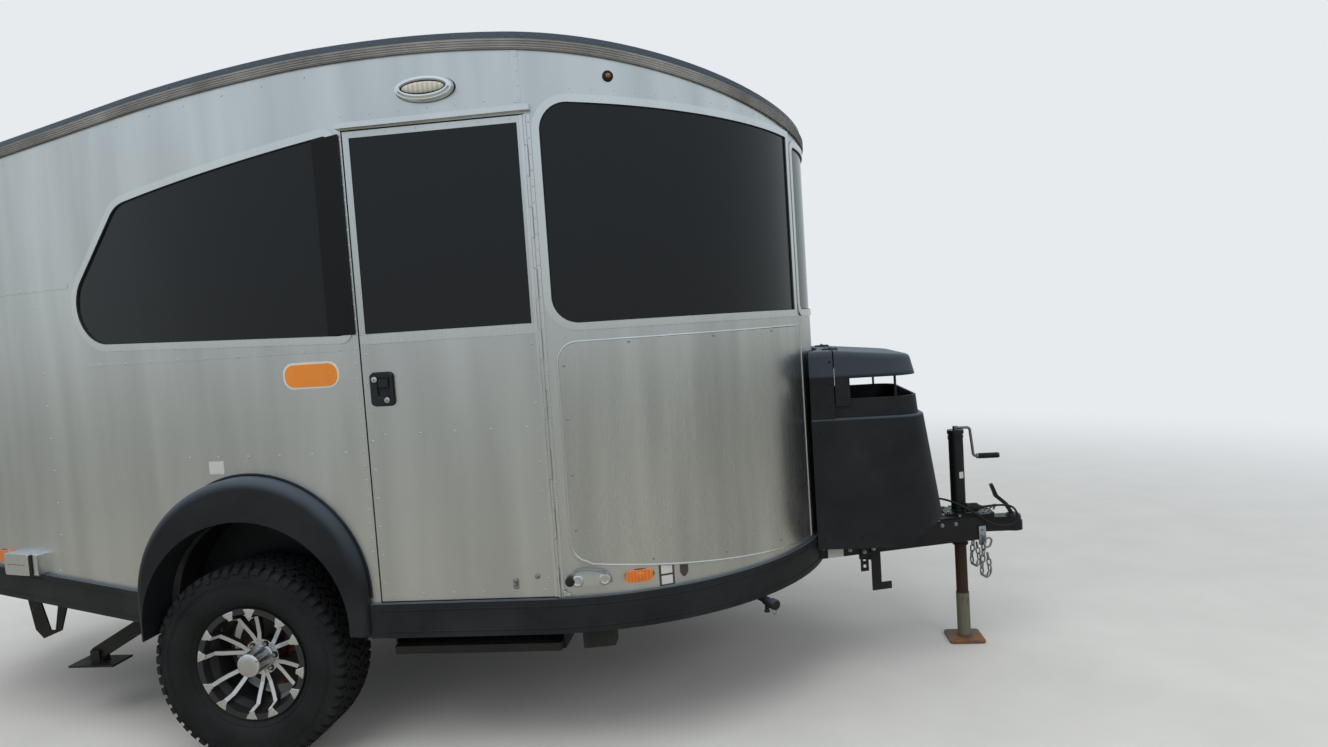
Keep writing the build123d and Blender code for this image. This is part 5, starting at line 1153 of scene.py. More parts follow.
class CARAVAN_OT_wheels(Operator):
    """All-terrain tyres, wheel nuts, caps and valves"""
    bl_idname = "caravan.wheels"
    bl_label = "Wheels"

    def execute(self, context):
        settings = context.scene.caravan_sizes
        for side, name in ((-1, "right"), (1, "left")):
            self.tyre(side, name, settings.tread_blocks, settings.tread_depth)
            self.fittings(side, name)
        return {"FINISHED"}

    def tyre(self, side, name, blocks, depth):
        rubber = Build()
        hub = (at_wheel(side, 0.0, 0.0, 0.0), Vector((0.0, side, 0.0)))
        rubber.spin(list(TYRE_SECTION) + [(r, -y) for r, y in reversed(TYRE_SECTION)], hub, 144, AHEAD)
        for radius, reach in ((0.2275, 0.1035), (0.2980, 0.1152), (0.3060, 0.1146)):
            for mirror in (1, -1):
                rubber.spin([(radius + r, mirror * (reach + y)) for r, y in
                             ((-0.0016, -0.0006), (0.0, 0.0013), (0.0016, -0.0006))], hub, 144, AHEAD)
        pitch = 360.0 / blocks
        low, high = TYRE_RADIUS - depth - 0.001, TYRE_RADIUS - 0.0004
        for index in range(blocks):
            for middle, half, skew, length, ahead in TREAD_ROWS:
                corners = ((-length - skew, -half), (length - skew, -half), (length * 0.55, 0.0),
                           (length + skew, half), (skew - length, half), (-length * 1.25, 0.0))
                turn = (index + ahead) * pitch
                rubber.add([at_wheel(side, radius, turn + along * share * DEGREES_PER_METRE,
                                     middle + across * share)
                            for radius, share in ((low, 1.0), (high - 0.0012, 1.0), (high, 0.90))
                            for along, across in corners], stacked(len(corners)))
            for edge in (-1, 1):
                self.lug(rubber, side, (index + 0.3 * edge) * pitch, edge, index % 2)
        made = rubber.piece("tyre_tread_" + name, tyre_rubber(), "tyre", "wheel_" + name, 30.0)
        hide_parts("tyre_" + name)

    def lug(self, build, side, degrees, edge, long_one):
        """Shoulder block that wraps from the tread down the side of the tyre."""
        foot = 0.326 if long_one else 0.337
        outer = ((0.3594, 0.0815), (0.3592, 0.0930), (0.3560, 0.1050), (0.3480, 0.1120), (0.3400, 0.1152),
                 (foot, 0.1162))
        inner = ((0.3480, 0.0800), (0.3480, 0.0930), (0.3440, 0.1030), (0.3400, 0.1075), (0.3340, 0.1100),
                 (foot - 0.003, 0.1130))
        half = 0.0140 * DEGREES_PER_METRE
        verts = []
        for line, share in ((inner, 1.0), (outer, 0.86)):
            for turn in (-half, half):
                for step, (radius, reach) in enumerate(line):
                    narrow = share * (1.0 - 0.10 * (step % 2) * long_one)
                    verts.append(at_wheel(side, radius, degrees + turn * narrow, edge * reach))
        n = len(outer)
        low_a, low_b, high_a, high_b = 0, n, 2 * n, 3 * n
        faces = []
        for i in range(n - 1):
            faces += [(high_a + i, high_a + i + 1, high_b + i + 1, high_b + i),
                      (low_a + i, low_a + i + 1, high_a + i + 1, high_a + i),
                      (low_b + i, high_b + i, high_b + i + 1, low_b + i + 1)]
        faces.append((low_a, high_a, high_b, low_b))
        faces.append((low_a + n - 1, low_b + n - 1, high_b + n - 1, high_a + n - 1))
        build.add(verts, faces)

    def fittings(self, side, name):
        body = "wheel_" + name
        axis = Vector((0.0, side, 0.0))
        hub = (at_wheel(side, 0.0, 0.0, 0.0), axis)
        nuts, cap, tips, valve = Build(), Build(), Build(), Build()
        for lug in range(6):
            nuts.spin([(0.0, 0.040), (0.0045, 0.0395), (0.0082, 0.036), (0.0088, 0.032), (0.0088, 0.019),
                       (0.0108, 0.0185), (0.0108, 0.0172)],
                      (at_wheel(side, 0.052, SPOKE_PHASE + 30.0 + 60.0 * lug, 0.0), axis), 6, AHEAD)
        steel = raw_metal("nut steel", (0.34, 0.31, 0.28), 0.34, 0.5)
        nuts.piece("wheel_nuts_" + name, steel, "alloy", body, 25.0)
        cap.spin([(0.0, 0.1143), (0.020, 0.1138), (0.034, 0.1127), (0.0405, 0.1095), (0.0422, 0.105),
                  (0.0422, 0.030)], hub, 48, AHEAD)
        cap.spin([(0.0435, 0.0262), (0.0472, 0.0268), (0.0485, 0.0300), (0.0450, 0.0330), (0.0422, 0.0330)],
                 hub, 48, AHEAD)
        alloy = raw_metal("cap alloy", (0.62, 0.62, 0.61), 0.34, 0.12)
        cap.piece("wheel_cap_" + name, alloy, "alloy", body, 40.0)
        for pair in range(6):
            for way in (-1, 1):
                self.tip(tips, side, SPOKE_PHASE + 60.0 * pair + way * 12.1)
        tips.piece("spoke_tips_" + name, machined_face(), "alloy", body, 30.0)
        lean = math.radians(SPOKE_PHASE + 30.0)
        out = Vector((-math.cos(lean) * 0.5, side * 0.9, -math.sin(lean) * 0.5)).normalized()
        valve.spin([(0.0062, 0.0), (0.0055, 0.010), (0.0035, 0.014), (0.0033, 0.026), (0.0042, 0.0265),
                    (0.0042, 0.036), (0.0, 0.037)],
                   (at_wheel(side, 0.176, SPOKE_PHASE + 30.0, 0.062), out), 12, out.orthogonal().normalized())
        valve.piece("valve_" + name, seal_rubber(), "tyre", body)

    def tip(self, build, side, degrees):
        """Bright flared end of a spoke, with a step where it meets the lip."""
        flare = ((0.1725, 0.0078), (0.1800, 0.0090), (0.1880, 0.0150), (0.2005, 0.0215), (0.2020, 0.0190))
        outline = [(r, -w) for r, w in flare] + [(0.2026, 0.0)] + list(reversed(flare))
        verts = []
        for lift, share in ((0.0925, 1.0), (0.0962, 1.0), (0.0968, 0.92)):
            for radius, across in outline:
                drawn_in = 0.0 if share == 1.0 else (radius - 0.187) * 0.06
                turn = math.degrees(across * share / radius)
                verts.append(at_wheel(side, radius - drawn_in, degrees + turn, lift))
        build.add(verts, stacked(len(outline)))


class CARAVAN_OT_fittings(Operator):
    """Door furniture, lamp bezels, plain badge and blank labels"""
    bl_idname = "caravan.fittings"
    bl_label = "Body fittings"

    def execute(self, context):
        self.door()
        self.holder()
        self.lamps()
        self.badge()
        self.back_box()
        self.hatch()
        return {"FINISHED"}

    def door(self):
        metal, dark, catch = Build(), Build(), Build()
        outward = Vector((0.0, -1.0, 0.0))
        for x, z in ((0.563, 1.352), (0.603, 1.280)):
            metal.spin([(0.0098, -0.002), (0.0098, 0.0008), (0.0088, 0.0018), (0.0, 0.0020)],
                       (on_side(x, z, 0.0160)[0], outward), 28, AHEAD)
            dark.block((on_side(x, z, 0.0181)[0], outward), AHEAD * 0.0009, UP * 0.0045, 0.0003)
        outline = rectangle(0.585, 1.318, 0.0815, 0.1135, 0.0145)
        dark.sweep(on_outline(outline, on_side), bead(0.005, 0.004), True)
        metal.piece("door_lock_faces", chrome(), "stainless", "door")
        dark.piece("door_lock_slots", seal_rubber(), "black_plastic", "door")
        x, z = 1.001, 0.6245
        catch.plate(rectangle(x, z, 0.019, 0.036, 0.004), on_side, 0.0035)
        for rise in (-0.012, 0.012):
            catch.spin([(0.0062, 0.0), (0.0062, 0.0035), (0.0045, 0.005), (0.0, 0.0052)],
                       on_side(x, z + rise, 0.0035), 16, AHEAD)
        catch.plate(rectangle(x, z, 0.008, 0.010, 0.002), wall(0.003), 0.014)
        catch.spin([(0.009, 0.0), (0.009, 0.004), (0.006, 0.008), (0.0, 0.009)], on_side(1.078, 0.648), 20,
                   AHEAD)
        catch.piece("door_catch", catch_steel(), "stainless", "door")

    def holder(self):
        """Hold-back for the open door: plate, two round posts, strap and rubber knob."""
        plate, knob, clip = Build(), Build(), Build()
        plate.plate(rectangle(1.262, HOLDER_Z, 0.098, 0.040, 0.004), on_side, 0.012)
        for x in (1.216, 1.305):
            plate.spin([(0.0200, 0.0), (0.0200, 0.016), (0.0170, 0.019), (0.0130, 0.0195), (0.0110, 0.0175),
                        (0.0, 0.0170)], on_side(x, HOLDER_Z), 28)
        plate.piece("door_holder", bright_metal(), "bright_trim")
        knob.spin([(0.006, 0.0), (0.006, 0.005), (0.013, 0.008), (0.0165, 0.0136), (0.0165, 0.0184),
                   (0.013, 0.0232), (0.0, 0.0252)], on_side(1.190, HOLDER_Z), 28)
        knob.piece("door_holder_knob", seal_rubber(), "black_plastic")
        line = [on_side(x, z, lift)[0] for x, z, lift in
                ((1.200, 0.652, 0.012), (1.225, 0.668, 0.016), (1.265, 0.663, 0.018), (1.300, 0.654, 0.018),
                 (1.324, 0.640, 0.014), (1.327, 0.615, 0.012))]
        round_bar("door_holder_strap", line, 0.0028, catch_steel())
        clip.plate(rectangle(1.176, 0.583, 0.030, 0.012, 0.004), wall(0.0005), 0.006)
        clip.dome(on_side(1.170, 0.590, 0.006), 0.006, 0.004, 12)
        clip.piece("sill_clip", bright_metal(), "bright_trim")

    def lamps(self):
        bright, glow, amber, brown, dark, red = [Build() for _ in range(6)]

        def oval(x, z, reach, height, proud=0.0, side=-1, sides=64):
            return [on_side(x + reach * math.cos(turn), z + height * math.sin(turn), proud, side)
                    for turn in turns(sides)]

        bright.sweep(oval(*PORCH_LAMP, 0.0900, 0.0330),
                     [(0.0, 0.0110), (0.010, 0.0105), (0.019, 0.0075), (0.0255, 0.0010), (0.0275, -0.0050),
                      (0.0260, -0.0100), (0.0200, -0.0120), (0.0, -0.0120)], True)
        bright.piece("porch_lamp_bezel", chrome(), "bright_trim")
        # A dark bead round the porch lamp's bezel, and a dark strip round its lens.
        dark.sweep(oval(*PORCH_LAMP, 0.1020, 0.0420), bead(0.006, 0.004), True)
        dark.sweep(oval(*PORCH_LAMP, 0.0760, 0.0205, 0.0230), strip(0.0090, 0.0014), True)
        sides, dome = 64, ((1.0, 0.0), (0.97, 0.0030), (0.85, 0.0050), (0.55, 0.0062))
        verts = [point for share, lift in dome
                 for point, _ in oval(*PORCH_LAMP, 0.0735 * share, 0.0185 * share, 0.0238 + lift)]
        verts.append(on_side(*PORCH_LAMP, 0.0306)[0])
        top = (len(dome) - 1) * sides
        faces = [(row + i, row + (i + 1) % sides, row + sides + (i + 1) % sides, row + sides + i)
                 for row in range(0, top, sides) for i in range(sides)]
        faces += [(top + i, top + (i + 1) % sides, len(verts) - 1) for i in range(sides)]
        glow.add(verts, faces)
        glow.piece("porch_lamp_lens", lens("porch lens", (0.58, 0.56, 0.47), 60.0), "lamp_lens")
        for side in SIDES:
            dark.sweep(oval(*FRONT_MARKER, 0.047, 0.020, 0.0, side, 40), bead(0.005, 0.004), True)
            dark.sweep(oval(*REAR_MARKER, 0.055, 0.023, 0.0, side, 40), bead(0.005, 0.004), True)
            amber.spin([(0.0145, -0.001), (0.0145, 0.0008), (0.0125, 0.0020), (0.0070, 0.0026),
                        (0.0, 0.0028)], on_side(*FRONT_MARKER, 0.0142, side), 32)
            clearance = on_side(1.428, 2.308, 0.0, side)
            brown.spin([(0.0095, 0.0), (0.0095, 0.007), (0.0080, 0.011), (0.0045, 0.013), (0.0, 0.0135)],
                       clearance, 32)
            dark.spin([(0.0185, 0.0), (0.0185, 0.003), (0.0165, 0.007), (0.0120, 0.0085), (0.0097, 0.0070),
                       (0.0096, 0.0)], clearance, 32)
            outline = rectangle(REAR_LAMP_X, 1.010, 0.092, 0.322, 0.0455, 8)
            dark.sweep([on_side(x, z, 0.0, side) for x, z in outline], bead(0.010, 0.012), True)
            for z in (0.93, 1.09):
                dark.sweep([on_side(REAR_LAMP_X + a, z, 0.0163, side) for a in (-0.042, 0.0, 0.042)],
                           strip(0.004, 0.0012))
        for y in (-0.075, 0.0, 0.075):
            red.spin([(0.0165, 0.0), (0.0165, 0.006), (0.0140, 0.012), (0.0, 0.0135)], on_tail(y, 1.845), 28)
        amber.piece("amber_reflectors", amber_lens(), "lamp_lens")
        brown.piece("clearance_lenses", lens("dull amber lens", (0.26, 0.085, 0.028)), "lamp_lens")
        red.piece("identification_lamps", red_lens(), "lamp_lens")
        dark.piece("lamp_gaskets", seal_rubber(), "black_plastic")

    def badge(self):
        """Plain lozenge with a pale border, and blank labels."""
        border, field, pale, dark = Build(), Build(), Build(), Build()
        for side in SIDES:
            border.plate(rectangle(*BADGE, 0.210, 0.092, 0.040, 8), wall(0.0, side), 0.0014)
            field.plate(rectangle(*BADGE, 0.196, 0.078, 0.034, 8), wall(0.0012, side), 0.0010)
        border.piece("badge_border", painted("pale vinyl", (0.70, 0.70, 0.66), 0.4, 0.0, 0.0), "bright_trim")
        field.piece("badge_field", painted("orange vinyl", palette().badge, 0.4, 0.1, 0.0), "lamp_lens")
        pale.plate(rectangle(-0.085, 1.068, 0.064, 0.046, 0.003), on_side, 0.0008)
        dark.plate(rectangle(LABEL_X, 0.6135, 0.051, 0.079, 0.003), on_side, 0.0006)
        for z, tall in ((0.632, 0.032), (0.594, 0.030)):
            pale.plate(rectangle(LABEL_X, z, 0.037, tall, 0.002), wall(0.0005), 0.0007)
        shield = ((1.5545, 0.6430), (1.5825, 0.6430), (1.5825, 0.6130), (1.5765, 0.6000), (1.5685, 0.5935),
                  (1.5605, 0.6000), (1.5545, 0.6130))
        dark.plate(shield, on_side, 0.0008)
        pale.piece("blank_labels", label_white(), "bright_trim")
        grey = painted("label grey", (0.060, 0.045, 0.045), 0.5, 0.0, 0.1)
        dark.piece("blank_label_backs", grey, "black_plastic")

    def back_box(self):
        """Bright ribbed box at the back of each side, with a dark slot near its front end."""
        shell, slot = Build(), Build()
        z = 0.682
        for side in SIDES:
            skin = wall(0.0, side)
            shell.plate(rectangle(-1.139, z, 0.142, 0.088, 0.006), skin, 0.044)
            shell.plate(rectangle(-1.042, z, 0.030, 0.088, 0.006), skin, 0.034)
            slot.plate(rectangle(-1.0625, z, 0.012, 0.080, 0.002), skin, 0.0385)
            slot.plate(rectangle(-1.139, z, 0.104, 0.002, 0.0008), wall(0.0405, side), 0.0040)
        shell.piece("side_sockets", bright_metal(), "bright_trim")
        slot.piece("side_socket_slots", seal_rubber(), "black_plastic")

    def hatch(self):
        handle, plate, lamp = Build(), Build(), Build()
        for y in (-0.24, 0.24):
            handle.plate(rectangle(y, 0.862, 0.090, 0.055, 0.012), on_tail, 0.008)
            handle.spin([(0.011, 0.0), (0.011, 0.004), (0.0, 0.0045)], on_tail(y, 0.862, 0.006), 20)
        handle.piece("hatch_latches", black_plastic(), "black_plastic", "hatch")
        plate.plate(rectangle(0.0, 0.985, 0.310, 0.160, 0.006), on_tail, 0.0022)
        for y in (-0.14, 0.14):
            plate.dome(on_tail(y, 1.045, 0.0022), 0.006, 0.003, 12)
        white = painted("plate white", (0.62, 0.63, 0.62), 0.4, 0.1, 0.1)
        plate.piece("blank_plate", white, "bright_trim", "hatch")
        lamp.plate(rectangle(0.0, 1.082, 0.110, 0.020, 0.005), on_tail, 0.010)
        lamp.piece("plate_lamp", black_plastic(), "black_plastic", "hatch")


# Tongue

def link_ring(build, centre, along, flat, length=0.036, width=0.023, wire=0.0032):
    """One chain link. along is its long axis and flat is square to its plane."""
    across = flat.cross(along).normalized()
    straight = (length - width) / 2
    radius = width / 2 - wire
    line = []
    for turn in turns(20):
        shift = straight if math.cos(turn) > 0 else -straight
        point = centre + along * (radius * math.cos(turn) + shift) + across * radius * math.sin(turn)
        line.append((point, flat))
    build.sweep(line, circle(wire, 8), True)


def hanging_chain(build, points, pitch=0.0262):
    """Links along a line of points, each a quarter turn from the last."""
    wire = bpy.context.scene.caravan_sizes.chain_wire / 2
    lengths = [0.0]
    for a, b in zip(points, points[1:]):
        lengths.append(lengths[-1] + (b - a).length)
    for index in range(max(2, int(lengths[-1] / pitch))):
        goal = (index + 0.5) * pitch
        for i in range(len(points) - 1):
            if lengths[i + 1] >= goal:
                break
        share = (goal - lengths[i]) / max(1e-9, lengths[i + 1] - lengths[i])
        centre = points[i] + (points[i + 1] - points[i]) * share
        along = (points[i + 1] - points[i]).normalized()
        side = Vector((0.29, -0.95, 0.1)).normalized()
        flat = (side - along * side.dot(along)).normalized()
        upright = along.cross(flat)
        facing, other = (flat, upright) if index % 2 else (upright, flat)
        turned = (facing + other * 0.35 * math.sin(index * 1.7)).normalized()
        link_ring(build, centre, along, turned, wire=wire)


def smooth_line(points, per_span=8):
    """Catmull-Rom line through the points."""
    line = []
    pad = [points[0] * 2 - points[1]] + list(points) + [points[-1] * 2 - points[-2]]
    for a, b, c, d in zip(pad, pad[1:], pad[2:], pad[3:]):
        for step in range(per_span):
            t = step / per_span
            line.append(0.5 * (2 * b + (c - a) * t + (2 * a - 5 * b + 4 * c - d) * t * t
                               + (3 * b - a - 3 * c + d) * t ** 3))
    line.append(points[-1])
    return line


def line_length(cable):
    """Length of a curve object's own line."""
    depth = cable.data.bevel_depth
    cable.data.bevel_depth = 0.0
    mesh = bpy.data.meshes.new_from_object(cable)
    cable.data.bevel_depth = depth
    points = [vertex.co for vertex in mesh.vertices]
    total = sum((points[edge.vertices[0]] - points[edge.vertices[1]]).length for edge in mesh.edges)
    bpy.data.meshes.remove(mesh)
    return total


def tube(side):
    """Directions out of a tube of the tongue and forward along it."""
    return Vector((0.2947, 0.9556 * side, 0.0)), Vector((0.9556, -0.2947 * side, 0.0))


def tube_spot(side, x, z, lift):
    """Spot on a tube of the tongue, with lift from its middle line."""
    out = tube(side)[0]
    return from_axle(x, side * (0.045 + (2.790 - x) * 0.30837), z) + out * lift, out


class CARAVAN_OT_tongue(Operator):
    """Chains, hooks, cable with its plug, bolts and latch parts on the tongue"""
    bl_idname = "caravan.tongue"
    bl_label = "Tongue"

    def execute(self, context):
        self.chains()
        self.cable()
        self.bolts()
        self.jack()
        self.cover()
        self.under_nose()
        return {"FINISHED"}

    def chains(self):
        chain, pile = Build(), Build()
        for side in SIDES:
            out, forward = tube(side)
            anchor = from_axle(2.7844, side * 0.0776, 0.0)
            chain.prism([anchor + UP * (0.436 + v) + forward * u - out * 0.003 for u, v in
                         ((-0.017, 0.006), (-0.011, 0.0), (0.011, 0.0), (0.017, 0.006), (0.017, 0.084),
                          (-0.017, 0.084))], out, 0.006)
            for z in (0.480, 0.505):
                chain.dome((anchor + UP * z + out * 0.003, out), 0.0075, 0.006, 6, 1)
            top = anchor + UP * 0.441
            link_ring(chain, top + UP * -0.008 + out * 0.004, UP, forward, 0.044, 0.032, 0.0042)
            hanging_chain(chain, smooth_line([top + Vector((x, y * side, z)) for x, y, z in CHAIN_POINTS]))
            hook = top + Vector((0.020, side * 0.008, 0.008))
            leaning = Vector((0.35, 0, 0.94))
            link_ring(chain, hook, leaning.normalized(),
                      Vector((0.94, 0.0, -0.35)).cross(leaning).normalized(), 0.050, 0.034, 0.0045)
        made = chain.piece("safety_chain_links", dull_zinc(), "stainless", angle=50.0)
        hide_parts("safety_chains")
        hanging_chain(pile, smooth_line([from_axle(x, y, z) for x, y, z in (
            (2.800, -0.060, 0.577), (2.822, -0.046, 0.590), (2.842, -0.050, 0.600), (2.850, -0.030, 0.586),
            (2.834, -0.022, 0.578))]), 0.020)
        pile.piece("breakaway_links", dull_zinc(), "stainless", angle=50.0)

    def cable(self):
        points = [from_axle(*point) for point in CABLE_POINTS]
        curve = bent_line("tongue_wire", points, CABLE_DIAMETER / 2, 12, 5, CABLE_POINT_RADIUS)
        cable = place_piece("tongue_wire", curve, seal_rubber(), "caravan")
        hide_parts("tongue_cable")
        plug, pins, grip = Build(), Build(), Build()
        start, back = points[-1], Vector((-1.0, 0.0, 0.0))
        plug.spin([(0.0, -0.016), (0.0062, -0.016), (0.0072, -0.004), (0.0100, 0.0), (0.0115, 0.006),
                   (0.0180, 0.012), (0.0185, 0.050), (0.0200, 0.052), (0.0200, 0.060), (0.0170, 0.0605),
                   (0.0170, 0.050), (0.0, 0.050)], (start, back), 32)
        for turn in turns(12):
            side = UP * math.cos(turn) + back.cross(UP) * math.sin(turn)
            rib = (start + back * 0.031 + side * 0.0183, side)
            plug.block(rib, back * 0.015, side.cross(back) * 0.0018, 0.0014)
        for turn, radius in [(turn, 0.0105) for turn in turns(6)] + [(0.0, 0.0)]:
            across = (UP * math.cos(turn) + back.cross(UP) * math.sin(turn)) * radius
            foot = (start + back * 0.050 + across, back)
            pins.spin([(0.0017, 0.0), (0.0017, 0.007), (0.0, 0.0075)], foot, 10)
        holder = plug.piece("cable_plug", seal_rubber(), "black_plastic")
        brass = raw_metal("pin brass", (0.50, 0.36, 0.16), 0.3)
        made_pins = pins.piece("cable_plug_pins", brass, "stainless")
        grip.spin([(0.0048, 0.016), (0.0068, 0.015), (0.0100, 0.004), (0.0130, 0.002), (0.0130, -0.004)],
                  (from_axle(2.5845, -0.060, 0.648), AHEAD), 24)
        grip.piece("cable_grommet", seal_rubber(), "black_plastic")
        line_length(cable)

    def bolts(self):
        heads, label = Build(), Build()
        for side in SIDES:
            for x, z, lift in ((2.085, 0.505, 0.0), (2.196, 0.484, 0.0), (2.292, 0.525, 0.0085),
                               (2.292, 0.480, 0.0085), (2.254, 0.530, 0.0065), (2.254, 0.470, 0.0065),
                               (2.60, 0.540, 0.0), (2.66, 0.540, 0.0)):
                heads.spin([(0.0095, 0.0), (0.0095, 0.0015), (0.0078, 0.002), (0.0078, 0.0075),
                            (0.0055, 0.009), (0.0, 0.0095)], tube_spot(side, x, z, 0.0250 + lift), 6)
        for x, y in ((2.625, 0.070), (2.625, -0.070), (2.795, 0.036), (2.690, 0.088), (2.690, -0.088)):
            heads.spin([(0.0095, 0.0), (0.0095, 0.002), (0.0080, 0.0025), (0.0080, 0.009), (0.0, 0.010)],
                       (from_axle(x, y, 0.5665), UP), 6, AHEAD)
        for x, y in ((2.652, 0.052), (2.652, -0.052), (2.762, 0.052)):
            heads.spin([(0.0080, 0.0), (0.0080, 0.0015), (0.0068, 0.002), (0.0068, 0.0065), (0.0, 0.0072)],
                       (from_axle(x, y, 0.5748), UP), 6, AHEAD)
        heads.piece("tongue_bolts", dull_zinc(), "stainless", angle=30.0)
        label.block(tube_spot(-1, 2.135, 0.481, 0.0255), tube(-1)[1] * 0.034, UP * 0.021, 0.0006)
        out = Vector((0.35, -0.94, 0.0))
        label.block((from_axle(JACK_X, 0.0, 0.735) + out * 0.0312, out), Vector((0.94, 0.35, 0.0)) * 0.010,
                    UP * 0.014, 0.0008)
        label.piece("tongue_labels", label_white(), "bright_trim")

    def jack(self):
        rings, pin, grip = Build(), Build(), Build()
        base = from_axle(JACK_X, 0.0, 0.0)
        for z, high in ((0.428, 0.012), (0.575, 0.010), (0.902, 0.010)):
            low, top = z - high / 2, z + high / 2
            rings.spin([(0.0310, low), (0.0335, low + 0.002), (0.0335, top - 0.002), (0.0310, top)],
                       (base, UP), 40, AHEAD)
        for degrees in (40, 160, 280):
            out = Vector((math.cos(math.radians(degrees)), math.sin(math.radians(degrees)), 0.0))
            rings.dome((base + UP * 0.892 + out * 0.031, out), 0.0045, 0.003)
        rings.piece("jack_rings", chassis_paint(), "rusty_steel")
        pin.spin([(0.0, -0.034), (0.0046, -0.0335), (0.0046, 0.0335), (0.0, 0.034)],
                 (base + UP * 0.196, Vector((0.0, 1.0, 0.0))), 14, AHEAD)
        pin.piece("jack_pin", dull_zinc(), "rusty_steel")
        handle = (from_axle(2.793, 0.0, 0.8112), AHEAD)
        grip.spin([(0.0, 0.004), (0.0105, 0.005), (0.0114, 0.007), (0.0114, 0.092), (0.0105, 0.094),
                   (0.0, 0.0945)], handle, 24)
        for step in range(6):
            grip.spin([(radius, along + 0.013 * step) for radius, along in
                       ((0.0110, 0.012), (0.0122, 0.014), (0.0122, 0.021), (0.0110, 0.023))], handle, 24)
        grip.piece("crank_grip_rings", seal_rubber(), "frame_paint")

    def cover(self):
        screws = Build()
        for side in SIDES:
            out = Vector((0.0, side, 0.0))
            for z in (1.10, 1.19, 1.28):
                screws.dome((from_axle(2.153, 0.3410 * side, z), out), 0.0055, 0.003)
            for x, z in ((2.10, 0.56), (2.25, 0.56), (2.38, 0.56), (2.10, 1.00), (2.02, 0.78)):
                screws.dome((from_axle(x, 0.3450 * side, z), out), 0.0060, 0.003)
        screws.piece("cover_screws", seal_rubber(), "black_plastic")

    def under_nose(self):
        """Drain valve that looks out below the rail, with its ring and cap."""
        valve, wire = Build(), Build()
        out = Vector((0.55, -0.835, 0.0)).normalized()
        start = from_axle(1.83, -0.640, 0.420)
        valve.spin([(0.0, -0.050), (0.011, -0.050), (0.011, 0.020), (0.016, 0.022), (0.016, 0.040),
                    (0.013, 0.044), (0.013, 0.062), (0.020, 0.064), (0.020, 0.090), (0.016, 0.094),
                    (0.0, 0.095)], (start, out), 24)
        valve.spin([(0.008, 0.0), (0.008, 0.034), (0.011, 0.036), (0.011, 0.042), (0.0, 0.043)],
                   (start + out * 0.030, UP * -1), 16, out)
        valve.spin([(0.009, 0.0), (0.009, 0.139)], (start - out * 0.020, UP), 16, out)
        valve.piece("drain_valve", black_plastic(), "black_plastic")
        side = out.cross(UP)
        wire.sweep([(start + out * 0.076 + out * u + UP * (-0.022 + v), side) for u, v in circle(0.016, 24)],
                   circle(0.0012, 6), True)
        wire.piece("drain_valve_ring", dull_zinc(), "stainless")


# Left side, roof and step

